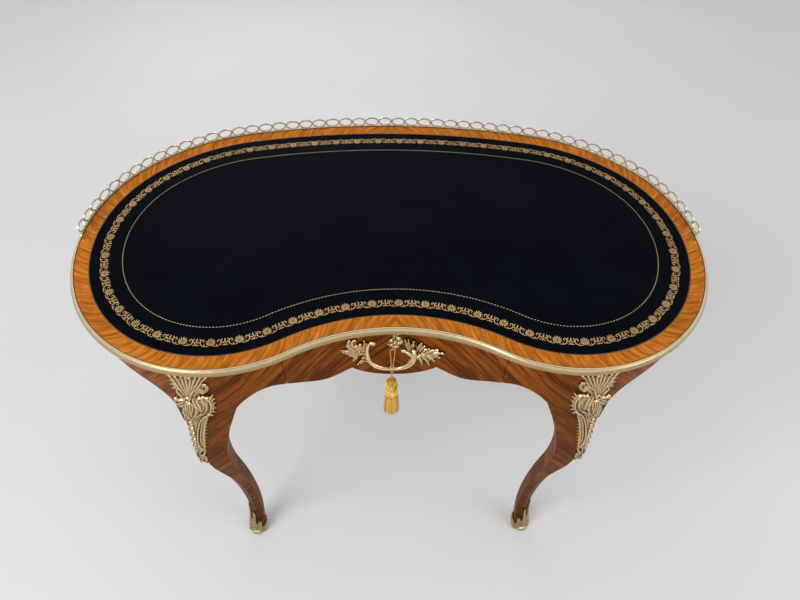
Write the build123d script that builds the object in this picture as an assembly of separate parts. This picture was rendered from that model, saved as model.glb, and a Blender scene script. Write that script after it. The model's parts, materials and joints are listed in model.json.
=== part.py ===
from build123d import *
from build123d.topology import SkipClean
from math import atan2, cos, degrees, pi, radians, sin, tan
import os

os.makedirs("parts", exist_ok=True)

# Kidney shaped writing table, millimetres.
# X runs along the table, the front faces minus Y, Z is up.
# The origin is on the floor under the middle of the top.
# Tables named shares hold fractions of the sizes named beside them.

# Overall
table_height = 765.0

# Kidney outline, taken at the edge of the leather
leather_half_width = 526.0
leather_depth = 556.0
front_hollow = 78.5
side_radius = 269.2
shoulder_radius = 339.0
lobe_radius = 227.0
side_upper_angle = 47.8
side_lower_angle = 27.6
half_depth = leather_depth / 2
hollow_y = front_hollow - half_depth

# Offsets outward from the edge of the leather
leather_play = 0.3
stringing_width = 1.5
wood_edge = 26.0
gallery_set_out = 2.1
gallery_pin_set_out = 1.1
apron_set_in = 7.0
apron_thickness = 20.0
outer_line_edge = wood_edge - stringing_width
gallery_line = wood_edge + gallery_set_out
gallery_pin_line = wood_edge + gallery_pin_set_out
apron_outer = wood_edge - apron_set_in
apron_inner = apron_outer - apron_thickness

# Top
veneer_thickness = 1.5
leather_thickness = 1.2
board_thickness = 13.5
veneer_underside = table_height - veneer_thickness
board_underside = veneer_underside - board_thickness

# Edge moulding section, offset outward and height below the top surface
lip_rise = 0.8
lip_width = 2.2
groove_width = 1.0
moulding_proud = 6.5
moulding_drop = 14.0
nose_drop = 5.0
moulding_foot = 4.2
gallery_foot = table_height + lip_rise

# Moulding pins
moulding_pin_count = 20
moulding_pin_radius = 0.9
moulding_pin_length = 14.0
moulding_pin_head_radius = 2.2
moulding_pin_head_height = 1.0
moulding_pin_drop = 8.0

# Pierced gallery
gallery_end_angle = 1.6
gallery_height = 20.0
ring_pitch_aim = 27.9
ring_overlap = 0.6
ring_wire = 2.4
ring_thickness = 2.6
strip_width = 4.2
strip_thickness = 1.6
ring_sink = 0.5
gallery_pin_radius = 0.9
gallery_pin_length = 6.0
gallery_pin_head_radius = 1.7
gallery_pin_head_height = 0.9
gallery_pin_step = 5

# Fits
pin_play = 0.05
key_play = 0.4
key_running_play = 0.1
drawer_gap = 1.0

# Aprons
apron_depth = 210.0
edge_depth = 178.5
lobe_drop = 137.0
edge_tool_depth = 272.0
edge_tool_overrun = 42.0
apron_top = board_underside
apron_low = apron_top - apron_depth
edge_tool_low = apron_top - edge_tool_depth

# Front edge, share of the distance out to the front leg with share of the edge depth
front_edge_shares = (
    (0.2238, 0.5714),
    (0.2801, 0.6246),
    (0.3532, 0.6611),
    (0.4476, 0.5994),
    (0.5481, 0.4734),
    (0.6242, 0.4146),
    (0.6881, 0.4426),
    (0.7521, 0.5322),
    (0.8069, 0.6611),
    (0.8419, 0.8235),
    (0.8732, 1.0),
)

# Back edge, share of the distance out to the back leg with share of the edge depth
back_edge_shares = (
    (0.0, 0.4818),
    (0.2649, 0.4146),
    (0.6020, 0.3249),
    (0.8067, 0.3922),
    (0.8910, 0.6162),
    (0.9259, 1.0),
)

# Side edge, share of half the leather's depth with share of the edge depth
side_edge_shares = (
    (-1.0396, 1.0),
    (-1.0216, 0.5882),
    (-0.9712, 0.3697),
    (-0.8273, 0.2857),
    (-0.2158, 0.4594),
    (0.3957, 0.3249),
    (0.5755, 0.4202),
    (0.6475, 0.6162),
    (0.6727, 1.0),
)

# Legs, placed by the direction they face from the centre of their arc
front_leg_angle = -82.0
back_leg_angle = 55.0
post_half_width = 42.0
post_depth = 62.0
post_front_reach = 12.0
post_drop = 179.0
sole_thickness = 5.0
back_corner_share = 0.72
full_back_share = 1.0508
narrow_back_share = 0.8406
shoulder_skin_share = 0.6
post_foot_height = apron_top - post_drop

# Leg sections, height as a share of the post's foot height, then forward swell,
# inward lean, ridge shift, half width and shoulder setback as shares of the
# post's half width, and depth as a share of the post's depth
leg_section_shares = (
    (1.2259, -0.0119, 0.0, 0.2143, 0.9476, 0.1024, 0.9677),
    (1.1121, 0.0190, 0.0, 0.1667, 0.9429, 0.1238, 0.9597),
    (1.0, 0.0762, -0.0119, 0.0952, 0.9333, 0.1643, 0.9516),
    (0.9282, 0.1667, -0.1310, -0.0952, 0.8571, 0.2143, 0.8871),
    (0.8406, 0.2619, -0.2976, -0.1905, 0.7381, 0.2619, 0.8065),
    (0.7356, 0.2619, -0.2857, -0.2857, 0.6310, 0.2500, 0.6935),
    (0.5954, -0.0238, -0.0714, -0.1190, 0.5000, 0.2024, 0.5806),
    (0.4553, -0.3095, 0.0833, 0.0, 0.4048, 0.1667, 0.5000),
    (0.3152, -0.4405, 0.1667, 0.0, 0.3571, 0.1429, 0.4516),
    (0.1926, -0.4167, 0.1667, 0.0, 0.3452, 0.1429, 0.4355),
    (0.0963, -0.2262, 0.0952, 0.0, 0.3810, 0.1548, 0.4677),
)
foot_section_shares = (0.0119, 0.0, 0.0, 0.4167, 0.1667, 0.5000)

# Knee mounts
mount_proud = 4.5
mount_reach = 60.0
mount_top_gap = 4.0
mount_length = 322.0
mount_half_width = 33.0
mount_top = apron_top - mount_top_gap
mount_pin_drops = (10.0, 294.0)
mount_pin_radius = 1.0
mount_pin_length = 14.0
mount_pin_head_radius = 2.0
mount_pin_head_height = 1.4
mount_pin_sink = 0.8
skin_overlap = 0.8

# Mount outline, drop as a share of the mount's length, then inward shift
# and half width as shares of the mount's half width
mount_outline_shares = (
    (0.0, 0.2727, 0.9091),
    (0.0745, 0.2424, 0.7576),
    (0.1429, 0.2121, 0.8788),
    (0.2547, 0.1212, 1.0),
    (0.3851, -0.1212, 0.7576),
    (0.5776, -0.3030, 0.5606),
    (0.7640, -0.6061, 0.3788),
    (0.9193, -0.7879, 0.2424),
    (1.0, -0.8485, 0.1515),
)

# Sabots
sabot_proud = 3.0
sabot_front_height = 82.0
sabot_back_height = 52.0
toe_radius = 6.5
toe_length = 16.0
toe_forward = 1.0
sabot_screw_radius = 1.75
sabot_screw_length = 26.0
sabot_screw_head_radius = 3.5
sabot_screw_head_height = 2.0
sabot_screw_back = 15.0

# Drawer
drawer_half_width = 180.0
drawer_top_gap = 1.5
drawer_lip = 15.0
drawer_side_thickness = 10.0
drawer_side_drop = 14.0
drawer_side_height = 52.0
drawer_back_room = 92.0
drawer_back_drop = 8.0
drawer_bottom_lift = 6.0
drawer_bottom_thickness = 6.0
groove_depth = 5.0
drawer_front_top = apron_top - drawer_top_gap
drawer_side_half_span = drawer_half_width - drawer_lip
drawer_side_top = apron_top - drawer_side_drop
drawer_side_bottom = drawer_side_top - drawer_side_height
drawer_back_y = half_depth + apron_inner - drawer_back_room
drawer_back_top = drawer_side_top - drawer_back_drop
drawer_bottom_height = drawer_side_bottom + drawer_bottom_lift
front_face_y = hollow_y - apron_outer
front_back_y = hollow_y - apron_inner

# Drawer pocket
pocket_play = 0.6
partition_thickness = 18.0
runner_play = 0.3
runner_height = 11.7
runner_width = 15.0
guide_play = 0.8
guide_height = 18.0
kicker_play = 1.0
rail_depth = 48.5
rail_height = 12.0
stop_length = 14.0
stop_height = 10.0
stop_gap = 0.4
partition_inner = drawer_half_width + drawer_gap
partition_bottom = drawer_side_bottom - runner_play - runner_height
runner_inner = drawer_side_half_span - runner_width
rail_back_y = front_back_y + rail_depth

# Screws up into the board
top_screw_radius = 2.0
top_screw_length = 20.0
top_screw_head_radius = 4.0
top_screw_head_height = 2.4
rail_screw_x = 110.0
rail_screw_inset = 40.0
rail_middle_screw_inset = 26.0
kicker_screw_y = 90.0
kicker_screw_x = (runner_inner + partition_inner) / 2
top_screw_spots = (
    (0, rail_back_y - rail_middle_screw_inset),
    (-rail_screw_x, rail_back_y - rail_screw_inset),
    (rail_screw_x, rail_back_y - rail_screw_inset),
    (-kicker_screw_x, kicker_screw_y),
    (kicker_screw_x, kicker_screw_y),
)

# Lock
lock_half_width = 32.0
lock_height = 31.0
lock_depth = 11.8
lock_sink = 0.2
lock_wall = 1.3
lock_floor = 3.0
lock_cavity_half = 24.0
plate_half_width = 36.0
plate_thickness = 1.5
plate_lip = 1.0
lock_relief_side = 2.0
lock_relief_gap = 2.7
lock_screw_inset = 4.0
lock_screw_rise = 6.0
lock_screw_radius = 1.3
lock_screw_length = 15.0
lock_screw_head_radius = 2.4
lock_screw_head_height = 0.9
lock_top = drawer_front_top - plate_thickness
lock_bottom = lock_top - lock_height
lock_back_y = front_back_y - lock_sink
lock_front_y = lock_back_y - lock_depth
lock_cavity_bottom = lock_bottom + lock_floor
plate_front_y = lock_front_y - plate_lip
lock_screw_x = lock_half_width - lock_screw_inset
lock_screw_z = lock_bottom + lock_screw_rise
lock_relief_half = plate_half_width + lock_relief_side
lock_relief_y = lock_back_y + lock_relief_gap

# Bolt
bolt_x = 15.0
bolt_half_width = 7.0
bolt_half_thickness = 3.2
bolt_set_back = 4.9
bolt_rest = 5.0
bolt_sink = 0.2
bolt_play = 0.3
bolt_throw = 7.0
mortise_play = 0.6
bolt_y = lock_front_y + bolt_set_back
bolt_bottom = lock_cavity_bottom + bolt_rest
bolt_top = drawer_front_top - bolt_sink

# Key and escutcheon
key_drop = 7.5
key_radius = 2.2
key_tip_room = 2.9
key_neck_reach = 15.5
key_roll = 22.0
bit_reach = 6.4
bit_half_thickness = 0.9
bit_set_back = 2.7
bit_length = 5.4
collar_radius = 3.0
collar_reach = 7.0
collar_length = 2.5
bow_lobe_radius = 5.6
bow_hole_radius = 2.9
bow_side_x = 6.6
bow_side_reach = 4.6
bow_near_reach = 10.0
bow_half_thickness = 1.6
neck_half_width = 2.2
escutcheon_radius = 7.4
escutcheon_proud = 2.0
keyhole_play = 0.4
key_height = apron_top - key_drop
key_tip_y = lock_back_y - key_tip_room
key_neck_y = front_face_y - key_neck_reach
bit_start_y = lock_front_y + bit_set_back
collar_start_y = front_face_y - collar_reach
bow_side_y = key_neck_y - bow_side_reach
bow_near_y = key_neck_y - bow_near_reach

# Cord and tassel
hitch_ring_radius = 3.4
hitch_wire_radius = 1.0
hitch_turn = -40.0
cord_x = -4.5
cord_y = -251.96
cord_radius = 0.9
cord_top_x = 4.2
cord_low_x = 1.25
cord_top_z = 741.2
cord_join_z = 689.0
cord_end_z = 646.3
bend_share = 0.45
knot_ring_radius = 3.5
knot_wire_radius = 1.0
soft_gap = 0.3
head_radius = 8.6
head_length = 26.0
ruff_radius = 11.8
ruff_length = 22.0
skirt_radius = 14.4
skirt_length = 48.0
head_top = cord_end_z - soft_gap
ruff_top = head_top - head_length - soft_gap
skirt_top = ruff_top - ruff_length - soft_gap

# Tassel profiles, radius as a share of the radius and drop as a share of the length
head_shares = ((0.0, 0.0), (0.395, 0.0), (0.860, 0.154), (1.0, 0.423), (0.884, 0.692), (0.977, 1.0))
ruff_shares = ((0.0, 0.0), (0.746, 0.0), (0.966, 0.318), (1.0, 0.682), (0.881, 1.0))
skirt_shares = ((0.0, 0.0), (0.750, 0.0), (0.875, 0.1875), (0.958, 0.583), (1.0, 1.0))

# Handle
handle_half_span = 88.0
handle_rise = 49.0
handle_drop = 78.0
handle_plate_thickness = 3.6
grip_reach = 23.0
grip_radius = 3.8
handle_screw_x = 52.0
handle_screw_drop = 46.0
handle_screw_radius = 2.0
handle_screw_head_radius = 4.5
handle_screw_head_height = 3.0
handle_screw_seat = 4.0
handle_screw_reach = 2.4
handle_low = apron_top - handle_drop
handle_screw_z = apron_top - handle_screw_drop

# Handle leaf outline, shares of the half span and of the rise above its low point
handle_plate_shares = (
    (0.375, 0.694),
    (0.432, 1.0),
    (0.568, 0.939),
    (0.727, 0.796),
    (1.0, 0.531),
    (0.864, 0.327),
    (0.705, 0.0),
    (0.545, 0.245),
    (0.409, 0.367),
)

# Grip line, shares of the half span, of the reach out from the front and of the rise
grip_path_shares = (
    (-0.500, 0.109, 0.653),
    (-0.443, 0.804, 0.551),
    (-0.295, 1.0, 0.082),
    (-0.068, 1.0, -0.071),
    (0.182, 1.0, 0.041),
    (0.409, 0.804, 0.429),
    (0.500, 0.109, 0.592),
)


# Centre points and radii of the outline
side_up = radians(side_upper_angle)
side_low = radians(side_lower_angle)
side_y = lobe_radius + (side_radius - lobe_radius) * sin(side_low) - half_depth
side_centre = (leather_half_width - side_radius, side_y)
shoulder_centre = (
    side_centre[0] + (side_radius - shoulder_radius) * cos(side_up),
    side_centre[1] + (side_radius - shoulder_radius) * sin(side_up),
)
lobe_centre = (
    side_centre[0] + (side_radius - lobe_radius) * cos(side_low),
    side_centre[1] - (side_radius - lobe_radius) * sin(side_low),
)
back_fall = shoulder_centre[1] - half_depth
back_radius = (shoulder_centre[0] ** 2 + back_fall ** 2 - shoulder_radius ** 2) / (
    -2 * (back_fall + shoulder_radius)
)
back_centre = (0, half_depth - back_radius)
lobe_rise = lobe_centre[1] - hollow_y
hollow_radius = (lobe_centre[0] ** 2 + lobe_rise ** 2 - lobe_radius ** 2) / (
    2 * (lobe_radius - lobe_rise)
)
hollow_centre = (0, hollow_y - hollow_radius)
shoulder_angle = atan2(
    shoulder_centre[1] - back_centre[1], shoulder_centre[0] - back_centre[0]
)
hollow_angle = atan2(
    lobe_centre[1] - hollow_centre[1], lobe_centre[0] - hollow_centre[0]
)

# Right half of the outline from the middle of the back round to the middle of the front.
# Each arc has its centre, radius, start and end angle, and the side its offset grows to.
half_arcs = (
    (back_centre, back_radius, pi / 2, shoulder_angle, 1),
    (shoulder_centre, shoulder_radius, shoulder_angle, side_up, 1),
    (side_centre, side_radius, side_up, -side_low, 1),
    (lobe_centre, lobe_radius, -side_low, hollow_angle - pi, 1),
    (hollow_centre, hollow_radius, hollow_angle, pi / 2, -1),
)


def on_arc(arc, offset, angle):
    """Plan point at an angle on one arc of the outline."""
    centre, radius, start, end, side = arc
    reach = radius + side * offset
    return (centre[0] + reach * cos(angle), centre[1] + reach * sin(angle))


def kidney_face(offset, height):
    """Level face bounded by the outline at an offset."""
    edges = []
    for mirror in (1, -1):
        for arc in half_arcs:
            middle = (arc[2] + arc[3]) / 2
            points = [on_arc(arc, offset, angle) for angle in (arc[2], middle, arc[3])]
            edges.append(
                ThreePointArc(*[(mirror * x, y, height) for x, y in points])
            )
    return make_face(edges)


def kidney_slab(offset, low, high):
    """Solid inside the outline at an offset between two heights."""
    return extrude(kidney_face(offset, low), amount=high - low, dir=(0, 0, 1))


def kidney_ring(outer, inner, low, high):
    """Solid band between two offsets of the outline."""
    return kidney_slab(outer, low, high) - kidney_slab(inner, low, high)


def half_length(offset, last_angle=None):
    """Length along the right half, stopped on the side arc when an angle is given."""
    total = 0
    for number, arc in enumerate(half_arcs):
        reach = arc[1] + arc[4] * offset
        if last_angle is not None and number == 2:
            return total + reach * (arc[2] - last_angle)
        total += reach * abs(arc[2] - arc[3])
    return total


def station(offset, distance):
    """Point and outward angle at a distance along the outline from the middle of the back."""
    side = 1 if distance >= 0 else -1
    left = abs(distance)
    for arc in half_arcs:
        reach = arc[1] + arc[4] * offset
        length = reach * abs(arc[2] - arc[3])
        if left <= length or arc is half_arcs[-1]:
            turn = left / reach
            angle = arc[2] - turn if arc[4] > 0 else arc[2] + turn
            x, y = on_arc(arc, offset, angle)
            outward = angle if arc[4] > 0 else angle + pi
            if side < 0:
                return (-x, y), pi - outward
            return (x, y), outward
        left -= length


def upright_cylinder(x, y, low, high, radius):
    return Pos(x, y, low) * extrude(Circle(radius), amount=high - low)


def outward_plane(x, y, z, angle):
    """Plane whose normal points level in the given direction and whose Y is up."""
    across = (-sin(angle), cos(angle), 0)
    return Plane(origin=(x, y, z), x_dir=across, z_dir=(cos(angle), sin(angle), 0))


def level_rod(x, y, z, angle, start, end, radius):
    """Round rod lying level along a direction, from start to end along it."""
    plane = outward_plane(x + start * cos(angle), y + start * sin(angle), z, angle)
    return extrude(plane * Circle(radius), amount=end - start)


def box_between(x0, x1, y0, y1, z0, z1):
    return Pos((x0 + x1) / 2, (y0 + y1) / 2, (z0 + z1) / 2) * Box(x1 - x0, y1 - y0, z1 - z0)


def rotated_about_z(shape, angle):
    return Rotation(0, 0, degrees(angle)) * shape


# Round section moulding swept by turning its section about each arc centre

def swept_section(make_section, arcs):
    """Turn a section, given as a function of its start radius and side, along each arc."""
    pieces = []
    for mirror in (1, -1):
        for arc in arcs:
            centre, radius, start, end, side = arc
            face = make_section(radius, side)
            turned = revolve(face, axis=Axis.Z, revolution_arc=degrees(abs(start - end)))
            piece = Pos(centre[0], centre[1], 0) * rotated_about_z(turned, min(start, end))
            pieces.append(piece if mirror > 0 else mirror_piece(piece))
    with SkipClean():
        return Part() + pieces


def mirror_piece(shape):
    return mirror(shape, about=Plane.YZ)


def moulding_section(radius, side):
    """Section of the edge moulding standing in the XZ plane at a radius."""
    def at(offset, height):
        return (radius + side * (wood_edge + offset), 0, height)

    lip_end = at(lip_width, table_height + lip_rise)
    groove_start = at(lip_width, table_height)
    groove_end = at(lip_width + groove_width, table_height)
    nose = at(moulding_proud, table_height - nose_drop)
    foot = at(moulding_foot, table_height - moulding_drop)
    heel = at(0, table_height - moulding_drop)
    head = at(0, table_height + lip_rise)
    edges = [
        Line(head, lip_end),
        Line(lip_end, groove_start),
        Line(groove_start, groove_end),
        ThreePointArc(groove_end, nose, foot),
        Line(foot, heel),
        Line(heel, head),
    ]
    return make_face(edges)


# Legs

leg_sections = [
    (
        share * post_foot_height,
        *[fraction * post_half_width for fraction in sizes],
        depth * post_depth,
    )
    for share, *sizes, depth in leg_section_shares
]
leg_sections.append(
    (
        sole_thickness,
        *[fraction * post_half_width for fraction in foot_section_shares[:-1]],
        foot_section_shares[-1] * post_depth,
    )
)
full_back_height = full_back_share * post_foot_height
narrow_back_height = narrow_back_share * post_foot_height
mount_outline = [
    (mount_top - drop * mount_length, shift * mount_half_width, half * mount_half_width)
    for drop, shift, half in mount_outline_shares
]
legs = {
    "front": (lobe_centre, lobe_radius + apron_outer, radians(front_leg_angle), 1),
    "back": (shoulder_centre, shoulder_radius + apron_outer, radians(back_leg_angle), 0),
}


def leg_point(leg, forward, inward):
    """Plan point measured forward of a leg's place on the outline and across it."""
    centre, reach, angle = leg[:3]
    out = reach + forward
    return (
        centre[0] + out * cos(angle) + inward * sin(angle),
        centre[1] + out * sin(angle) - inward * cos(angle),
    )


def leg_section_face(leg, section, skin):
    """Five cornered section of a leg, enlarged by a skin thickness."""
    height, forward, lean, shift, half, setback, depth = section
    rise = (height - narrow_back_height) / (full_back_height - narrow_back_height)
    share = back_corner_share + (1 - back_corner_share) * max(0, min(1, rise))
    across = lean * leg[3]
    corners = (
        (forward + skin, shift * leg[3]),
        (forward - setback + skin * shoulder_skin_share, half + skin),
        (forward - depth - skin, half * share + skin),
        (forward - depth - skin, -half * share - skin),
        (forward - setback + skin * shoulder_skin_share, -half - skin),
    )
    points = [(*leg_point(leg, out, across + inward), height) for out, inward in corners]
    return make_face(Polyline(*points, close=True))


def leg_loft(leg, skin):
    return loft([leg_section_face(leg, section, skin) for section in leg_sections])


def leg_slab(leg, reach_in, half, low, high):
    """Upright block standing on the line of a leg."""
    corners = (
        (post_front_reach, half),
        (-reach_in, half),
        (-reach_in, -half),
        (post_front_reach, -half),
    )
    points = [(*leg_point(leg, out, inward), low) for out, inward in corners]
    return extrude(make_face(Polyline(*points, close=True)), amount=high - low, dir=(0, 0, 1))


def make_leg(leg):
    """Square post under the top running into the curved leg."""
    block = leg_slab(leg, post_depth, post_half_width, post_foot_height, apron_top)
    post = block & kidney_slab(apron_outer, post_foot_height, apron_top)
    return post + leg_loft(leg, 0)


def ridge_at(height):
    """Forward swell and lean of the leg's ridge at a height."""
    for upper, lower in zip(leg_sections, leg_sections[1:]):
        if height >= lower[0]:
            share = min(1, (height - lower[0]) / (upper[0] - lower[0]))
            mixed = [low + share * (high - low) for low, high in zip(lower, upper)]
            return mixed[1], mixed[2] + mixed[3]


def leg_rod(leg, height, start, end, radius):
    """Round rod through a leg's ridge at a height, along the way the leg faces."""
    swell, lean = ridge_at(height)
    x, y = leg_point(leg, swell, lean * leg[3])
    return level_rod(x, y, height, leg[2], start, end, radius)


def mount_pin(leg, height):
    seat = mount_proud - mount_pin_sink
    shaft = leg_rod(leg, height, seat - mount_pin_length, seat, mount_pin_radius)
    head = leg_rod(leg, height, seat, seat + mount_pin_head_height, mount_pin_head_radius)
    return shaft + head


def mount_pin_bore(leg, height):
    """Hole for a mount pin with a flat seat under its head."""
    seat = mount_proud - mount_pin_sink
    far = seat + post_front_reach
    shaft = leg_rod(leg, height, seat - mount_pin_length, seat, mount_pin_radius + pin_play)
    head = leg_rod(leg, height, seat, far, mount_pin_head_radius + pin_play)
    return shaft + head


def make_knee_mount(leg, bare_leg):
    """Cast mount following the knee, cut to its outline and fitted to the leg."""
    x, y = leg_point(leg, 0, 0)
    plane = outward_plane(x, y, 0, leg[2])
    rows = [(height, -shift * leg[3], half) for height, shift, half in mount_outline]
    side = [(middle + half, height) for height, middle, half in rows]
    other = [(middle - half, height) for height, middle, half in reversed(rows)]
    edges = [
        Spline(*side),
        Line(side[-1], other[0]),
        Spline(*other),
        Line(other[-1], side[0]),
    ]
    blank = extrude(plane * make_face(edges), amount=mount_reach / 2, both=True)
    skin = leg_loft(leg, mount_proud) + leg_slab_skin(leg)
    fitted = (skin & blank) - bare_leg
    return max(fitted.solids(), key=lambda solid: solid.volume)


def leg_slab_skin(leg):
    """Outer skin over the post, following the outline."""
    low = leg_sections[0][0] - skin_overlap
    block = leg_slab(leg, post_front_reach, post_half_width, low, apron_top)
    return block & kidney_slab(apron_outer + mount_proud, post_foot_height, apron_top)


def make_sabot(leg, bare_leg):
    """Cast shoe round the foot with a sole, a slanting top edge and a rolled toe."""
    shell = leg_loft(leg, sabot_proud)
    foot = leg_section_face(leg, leg_sections[-1], sabot_proud)
    sole = extrude(foot, amount=sole_thickness, dir=(0, 0, -1))
    swell = leg_sections[-1][1]
    depth = leg_sections[-1][-1]
    x, y = leg_point(leg, 0, 0)
    section = [
        (swell + post_front_reach, 0),
        (swell + post_front_reach, sabot_front_height),
        (swell - depth - post_depth, sabot_back_height - post_depth / 2),
        (swell - depth - post_depth, 0),
    ]
    side_plane = Plane(
        origin=(x, y, 0), x_dir=(cos(leg[2]), sin(leg[2]), 0), z_dir=(sin(leg[2]), -cos(leg[2]), 0)
    )
    wedge = extrude(side_plane * make_face(Polyline(*section, close=True)), amount=mount_reach, both=True)
    toe_x, toe_y = leg_point(leg, swell + toe_forward, toe_length / 2)
    toe_plane = Plane(
        origin=(toe_x, toe_y, toe_radius), z_dir=(-sin(leg[2]), cos(leg[2]), 0)
    )
    toe = extrude(toe_plane * Circle(toe_radius), amount=toe_length)
    return (shell & wedge) + sole + toe - bare_leg


def sabot_screw_place(leg):
    return leg_point(leg, leg_sections[-1][1] - sabot_screw_back, 0)


def make_sabot_screw(leg):
    x, y = sabot_screw_place(leg)
    head = upright_cylinder(x, y, 0, sabot_screw_head_height, sabot_screw_head_radius)
    return head + upright_cylinder(x, y, sabot_screw_head_height, sabot_screw_length, sabot_screw_radius)


def sabot_screw_bore(leg):
    x, y = sabot_screw_place(leg)
    head = upright_cylinder(x, y, 0, sabot_screw_head_height, sabot_screw_head_radius + pin_play)
    return head + upright_cylinder(x, y, 0, sabot_screw_length, sabot_screw_radius + pin_play)


# Top

def make_gallery():
    """Cast gallery of oval rings standing on a flat strip round the back."""
    arcs = list(half_arcs[:2])
    centre, radius, start, end, side = half_arcs[2]
    arcs.append((centre, radius, start, radians(gallery_end_angle), side))
    strip = swept_section(strip_section, arcs)
    run = half_length(gallery_line, radians(gallery_end_angle))
    count = ring_count(run)
    pitch = 2 * run / count
    half_ring = (pitch + ring_overlap) / 2
    half_rise = (gallery_height - strip_thickness + ring_sink) / 2
    oval = Ellipse(half_ring, half_rise) - Ellipse(half_ring - ring_wire, half_rise - ring_wire)
    middle = gallery_foot + gallery_height - half_rise
    rings = []
    for number in range(count):
        (x, y), angle = station(gallery_line, -run + pitch * (number + 1 / 2))
        plane = outward_plane(x, y, middle, angle)
        rings.append(extrude(plane * oval, amount=ring_thickness / 2, both=True))
    with SkipClean():
        return strip + rings


def ring_count(run):
    return 2 * round(run / ring_pitch_aim)


def strip_section(radius, side):
    """Section of the flat strip under the gallery rings."""
    inner = radius + side * (gallery_line - strip_width / 2)
    outer = radius + side * (gallery_line + strip_width / 2)
    low = gallery_foot
    high = gallery_foot + strip_thickness
    return make_face(
        Polyline((inner, 0, low), (outer, 0, low), (outer, 0, high), (inner, 0, high), close=True)
    )


def gallery_pin_places():
    """Gaps between the rings that take a fixing pin."""
    run = half_length(gallery_line, radians(gallery_end_angle))
    count = ring_count(run)
    pitch = 2 * run / count
    middle = count // 2
    gaps = [n for n in range(1, count) if (n - middle) % gallery_pin_step == 0]
    scale = half_length(gallery_pin_line, radians(gallery_end_angle)) / run
    return [station(gallery_pin_line, scale * (-run + pitch * n))[0] for n in gaps]


def gallery_pin(x, y):
    seat = gallery_foot + strip_thickness
    shaft = upright_cylinder(x, y, seat - gallery_pin_length, seat, gallery_pin_radius)
    head = upright_cylinder(x, y, seat, seat + gallery_pin_head_height, gallery_pin_head_radius)
    return shaft + head


def gallery_pin_bore(x, y):
    """Hole for a gallery pin with the free space its head needs."""
    seat = gallery_foot + strip_thickness
    shaft = upright_cylinder(x, y, seat - gallery_pin_length, seat, gallery_pin_radius + pin_play)
    over = seat + 2 * gallery_pin_head_height
    return shaft + upright_cylinder(x, y, seat, over, gallery_pin_head_radius + pin_play)


def moulding_pin_places():
    length = half_length(wood_edge)
    step = 2 * length / moulding_pin_count
    first = -length + step
    return [station(wood_edge, first + step * n) for n in range(moulding_pin_count)]


def moulding_pin(place, play=0, head_run=moulding_pin_head_height):
    """Round headed pin driven level through the moulding into the edge of the board."""
    (x, y), angle = place
    height = table_height - moulding_pin_drop
    start = moulding_proud - moulding_pin_length
    seat = moulding_proud - moulding_pin_head_height / 2
    shaft = level_rod(x, y, height, angle, start, seat, moulding_pin_radius + play)
    head = level_rod(x, y, height, angle, seat, seat + head_run, moulding_pin_head_radius + play)
    return shaft + head


# Aprons

def edge_points(shares, span):
    """Points of a shaped edge from shares of a span and of the edge depth."""
    return [(along * span, apron_top - drop * edge_depth) for along, drop in shares]


def front_edge_tool():
    """Space under the shaped front edge, cusps and middle lobe included."""
    right = edge_points(front_edge_shares, leg_point(legs["front"], 0, 0)[0])
    left = [(-x, z) for x, z in reversed(right)]
    base = edge_tool_low
    end = edge_tool_overrun + right[-1][0]
    edges = [
        Spline(*right),
        Line(right[-1], (end, right[-1][1])),
        Line((end, right[-1][1]), (end, base)),
        Line((end, base), (-end, base)),
        Line((-end, base), (-end, left[0][1])),
        Line((-end, left[0][1]), left[0]),
        Spline(*left),
        ThreePointArc(left[-1], (0, apron_top - lobe_drop), right[0]),
    ]
    face = Plane.XZ * make_face(edges)
    return extrude(face, amount=half_depth + wood_edge + moulding_proud)


def back_edge_tool():
    """Space under the shaped edge of the back."""
    right = edge_points(back_edge_shares, leg_point(legs["back"], 0, 0)[0])
    left = [(-x, z) for x, z in reversed(right)]
    curve = [*left[:-1], *right]
    base = edge_tool_low
    end = edge_tool_overrun + right[-1][0]
    edges = [
        Spline(*curve),
        Line(right[-1], (end, right[-1][1])),
        Line((end, right[-1][1]), (end, base)),
        Line((end, base), (-end, base)),
        Line((-end, base), (-end, left[0][1])),
        Line((-end, left[0][1]), left[0]),
    ]
    face = Plane.XZ * make_face(edges)
    return extrude(face, amount=-half_depth - wood_edge - moulding_proud)


def side_edge_tool():
    """Space under the shaped edge of the right side."""
    curve = edge_points(side_edge_shares, half_depth)
    base = edge_tool_low
    edges = [
        Spline(*curve),
        Line(curve[-1], (curve[-1][0], base)),
        Line((curve[-1][0], base), (curve[0][0], base)),
        Line((curve[0][0], base), curve[0]),
    ]
    inner = leg_point(legs["front"], 0, 0)[0]
    face = Pos(inner, 0, 0) * (Plane.YZ * make_face(edges))
    return extrude(face, amount=leather_half_width - inner + wood_edge)


def apron_pieces():
    """The band under the top, parted at the legs and the drawer."""
    band = kidney_ring(apron_outer, apron_inner, apron_low, apron_top)
    low = apron_low - drawer_gap
    high = apron_top + drawer_gap
    for leg in legs.values():
        block = leg_slab(leg, post_depth, post_half_width, low, high)
        band = band - block - mirror_piece(block)
    half = drawer_half_width + drawer_gap
    band -= box_between(-half, half, -half_depth, 0, low, high)
    side = side_edge_tool()
    band = band - front_edge_tool() - back_edge_tool() - side - mirror_piece(side)
    parts = {}
    for solid in band.solids():
        middle = solid.center()
        if middle.Y > drawer_back_y:
            parts["apron_back"] = solid
        elif abs(middle.X) > leg_point(legs["front"], 0, 0)[0]:
            parts["apron_side_right" if middle.X > 0 else "apron_side_left"] = solid
        else:
            parts["apron_front_right" if middle.X > 0 else "apron_front_left"] = solid
    return parts


# Drawer pocket

def inside_aprons(shape):
    """The part of a shape that lies inside the aprons."""
    return shape & kidney_slab(apron_inner, apron_low, apron_top)


def behind_drawer_front(shape):
    """The part of a shape that keeps clear of the drawer front."""
    return shape & kidney_slab(apron_inner - pocket_play, apron_low, apron_top)


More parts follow.
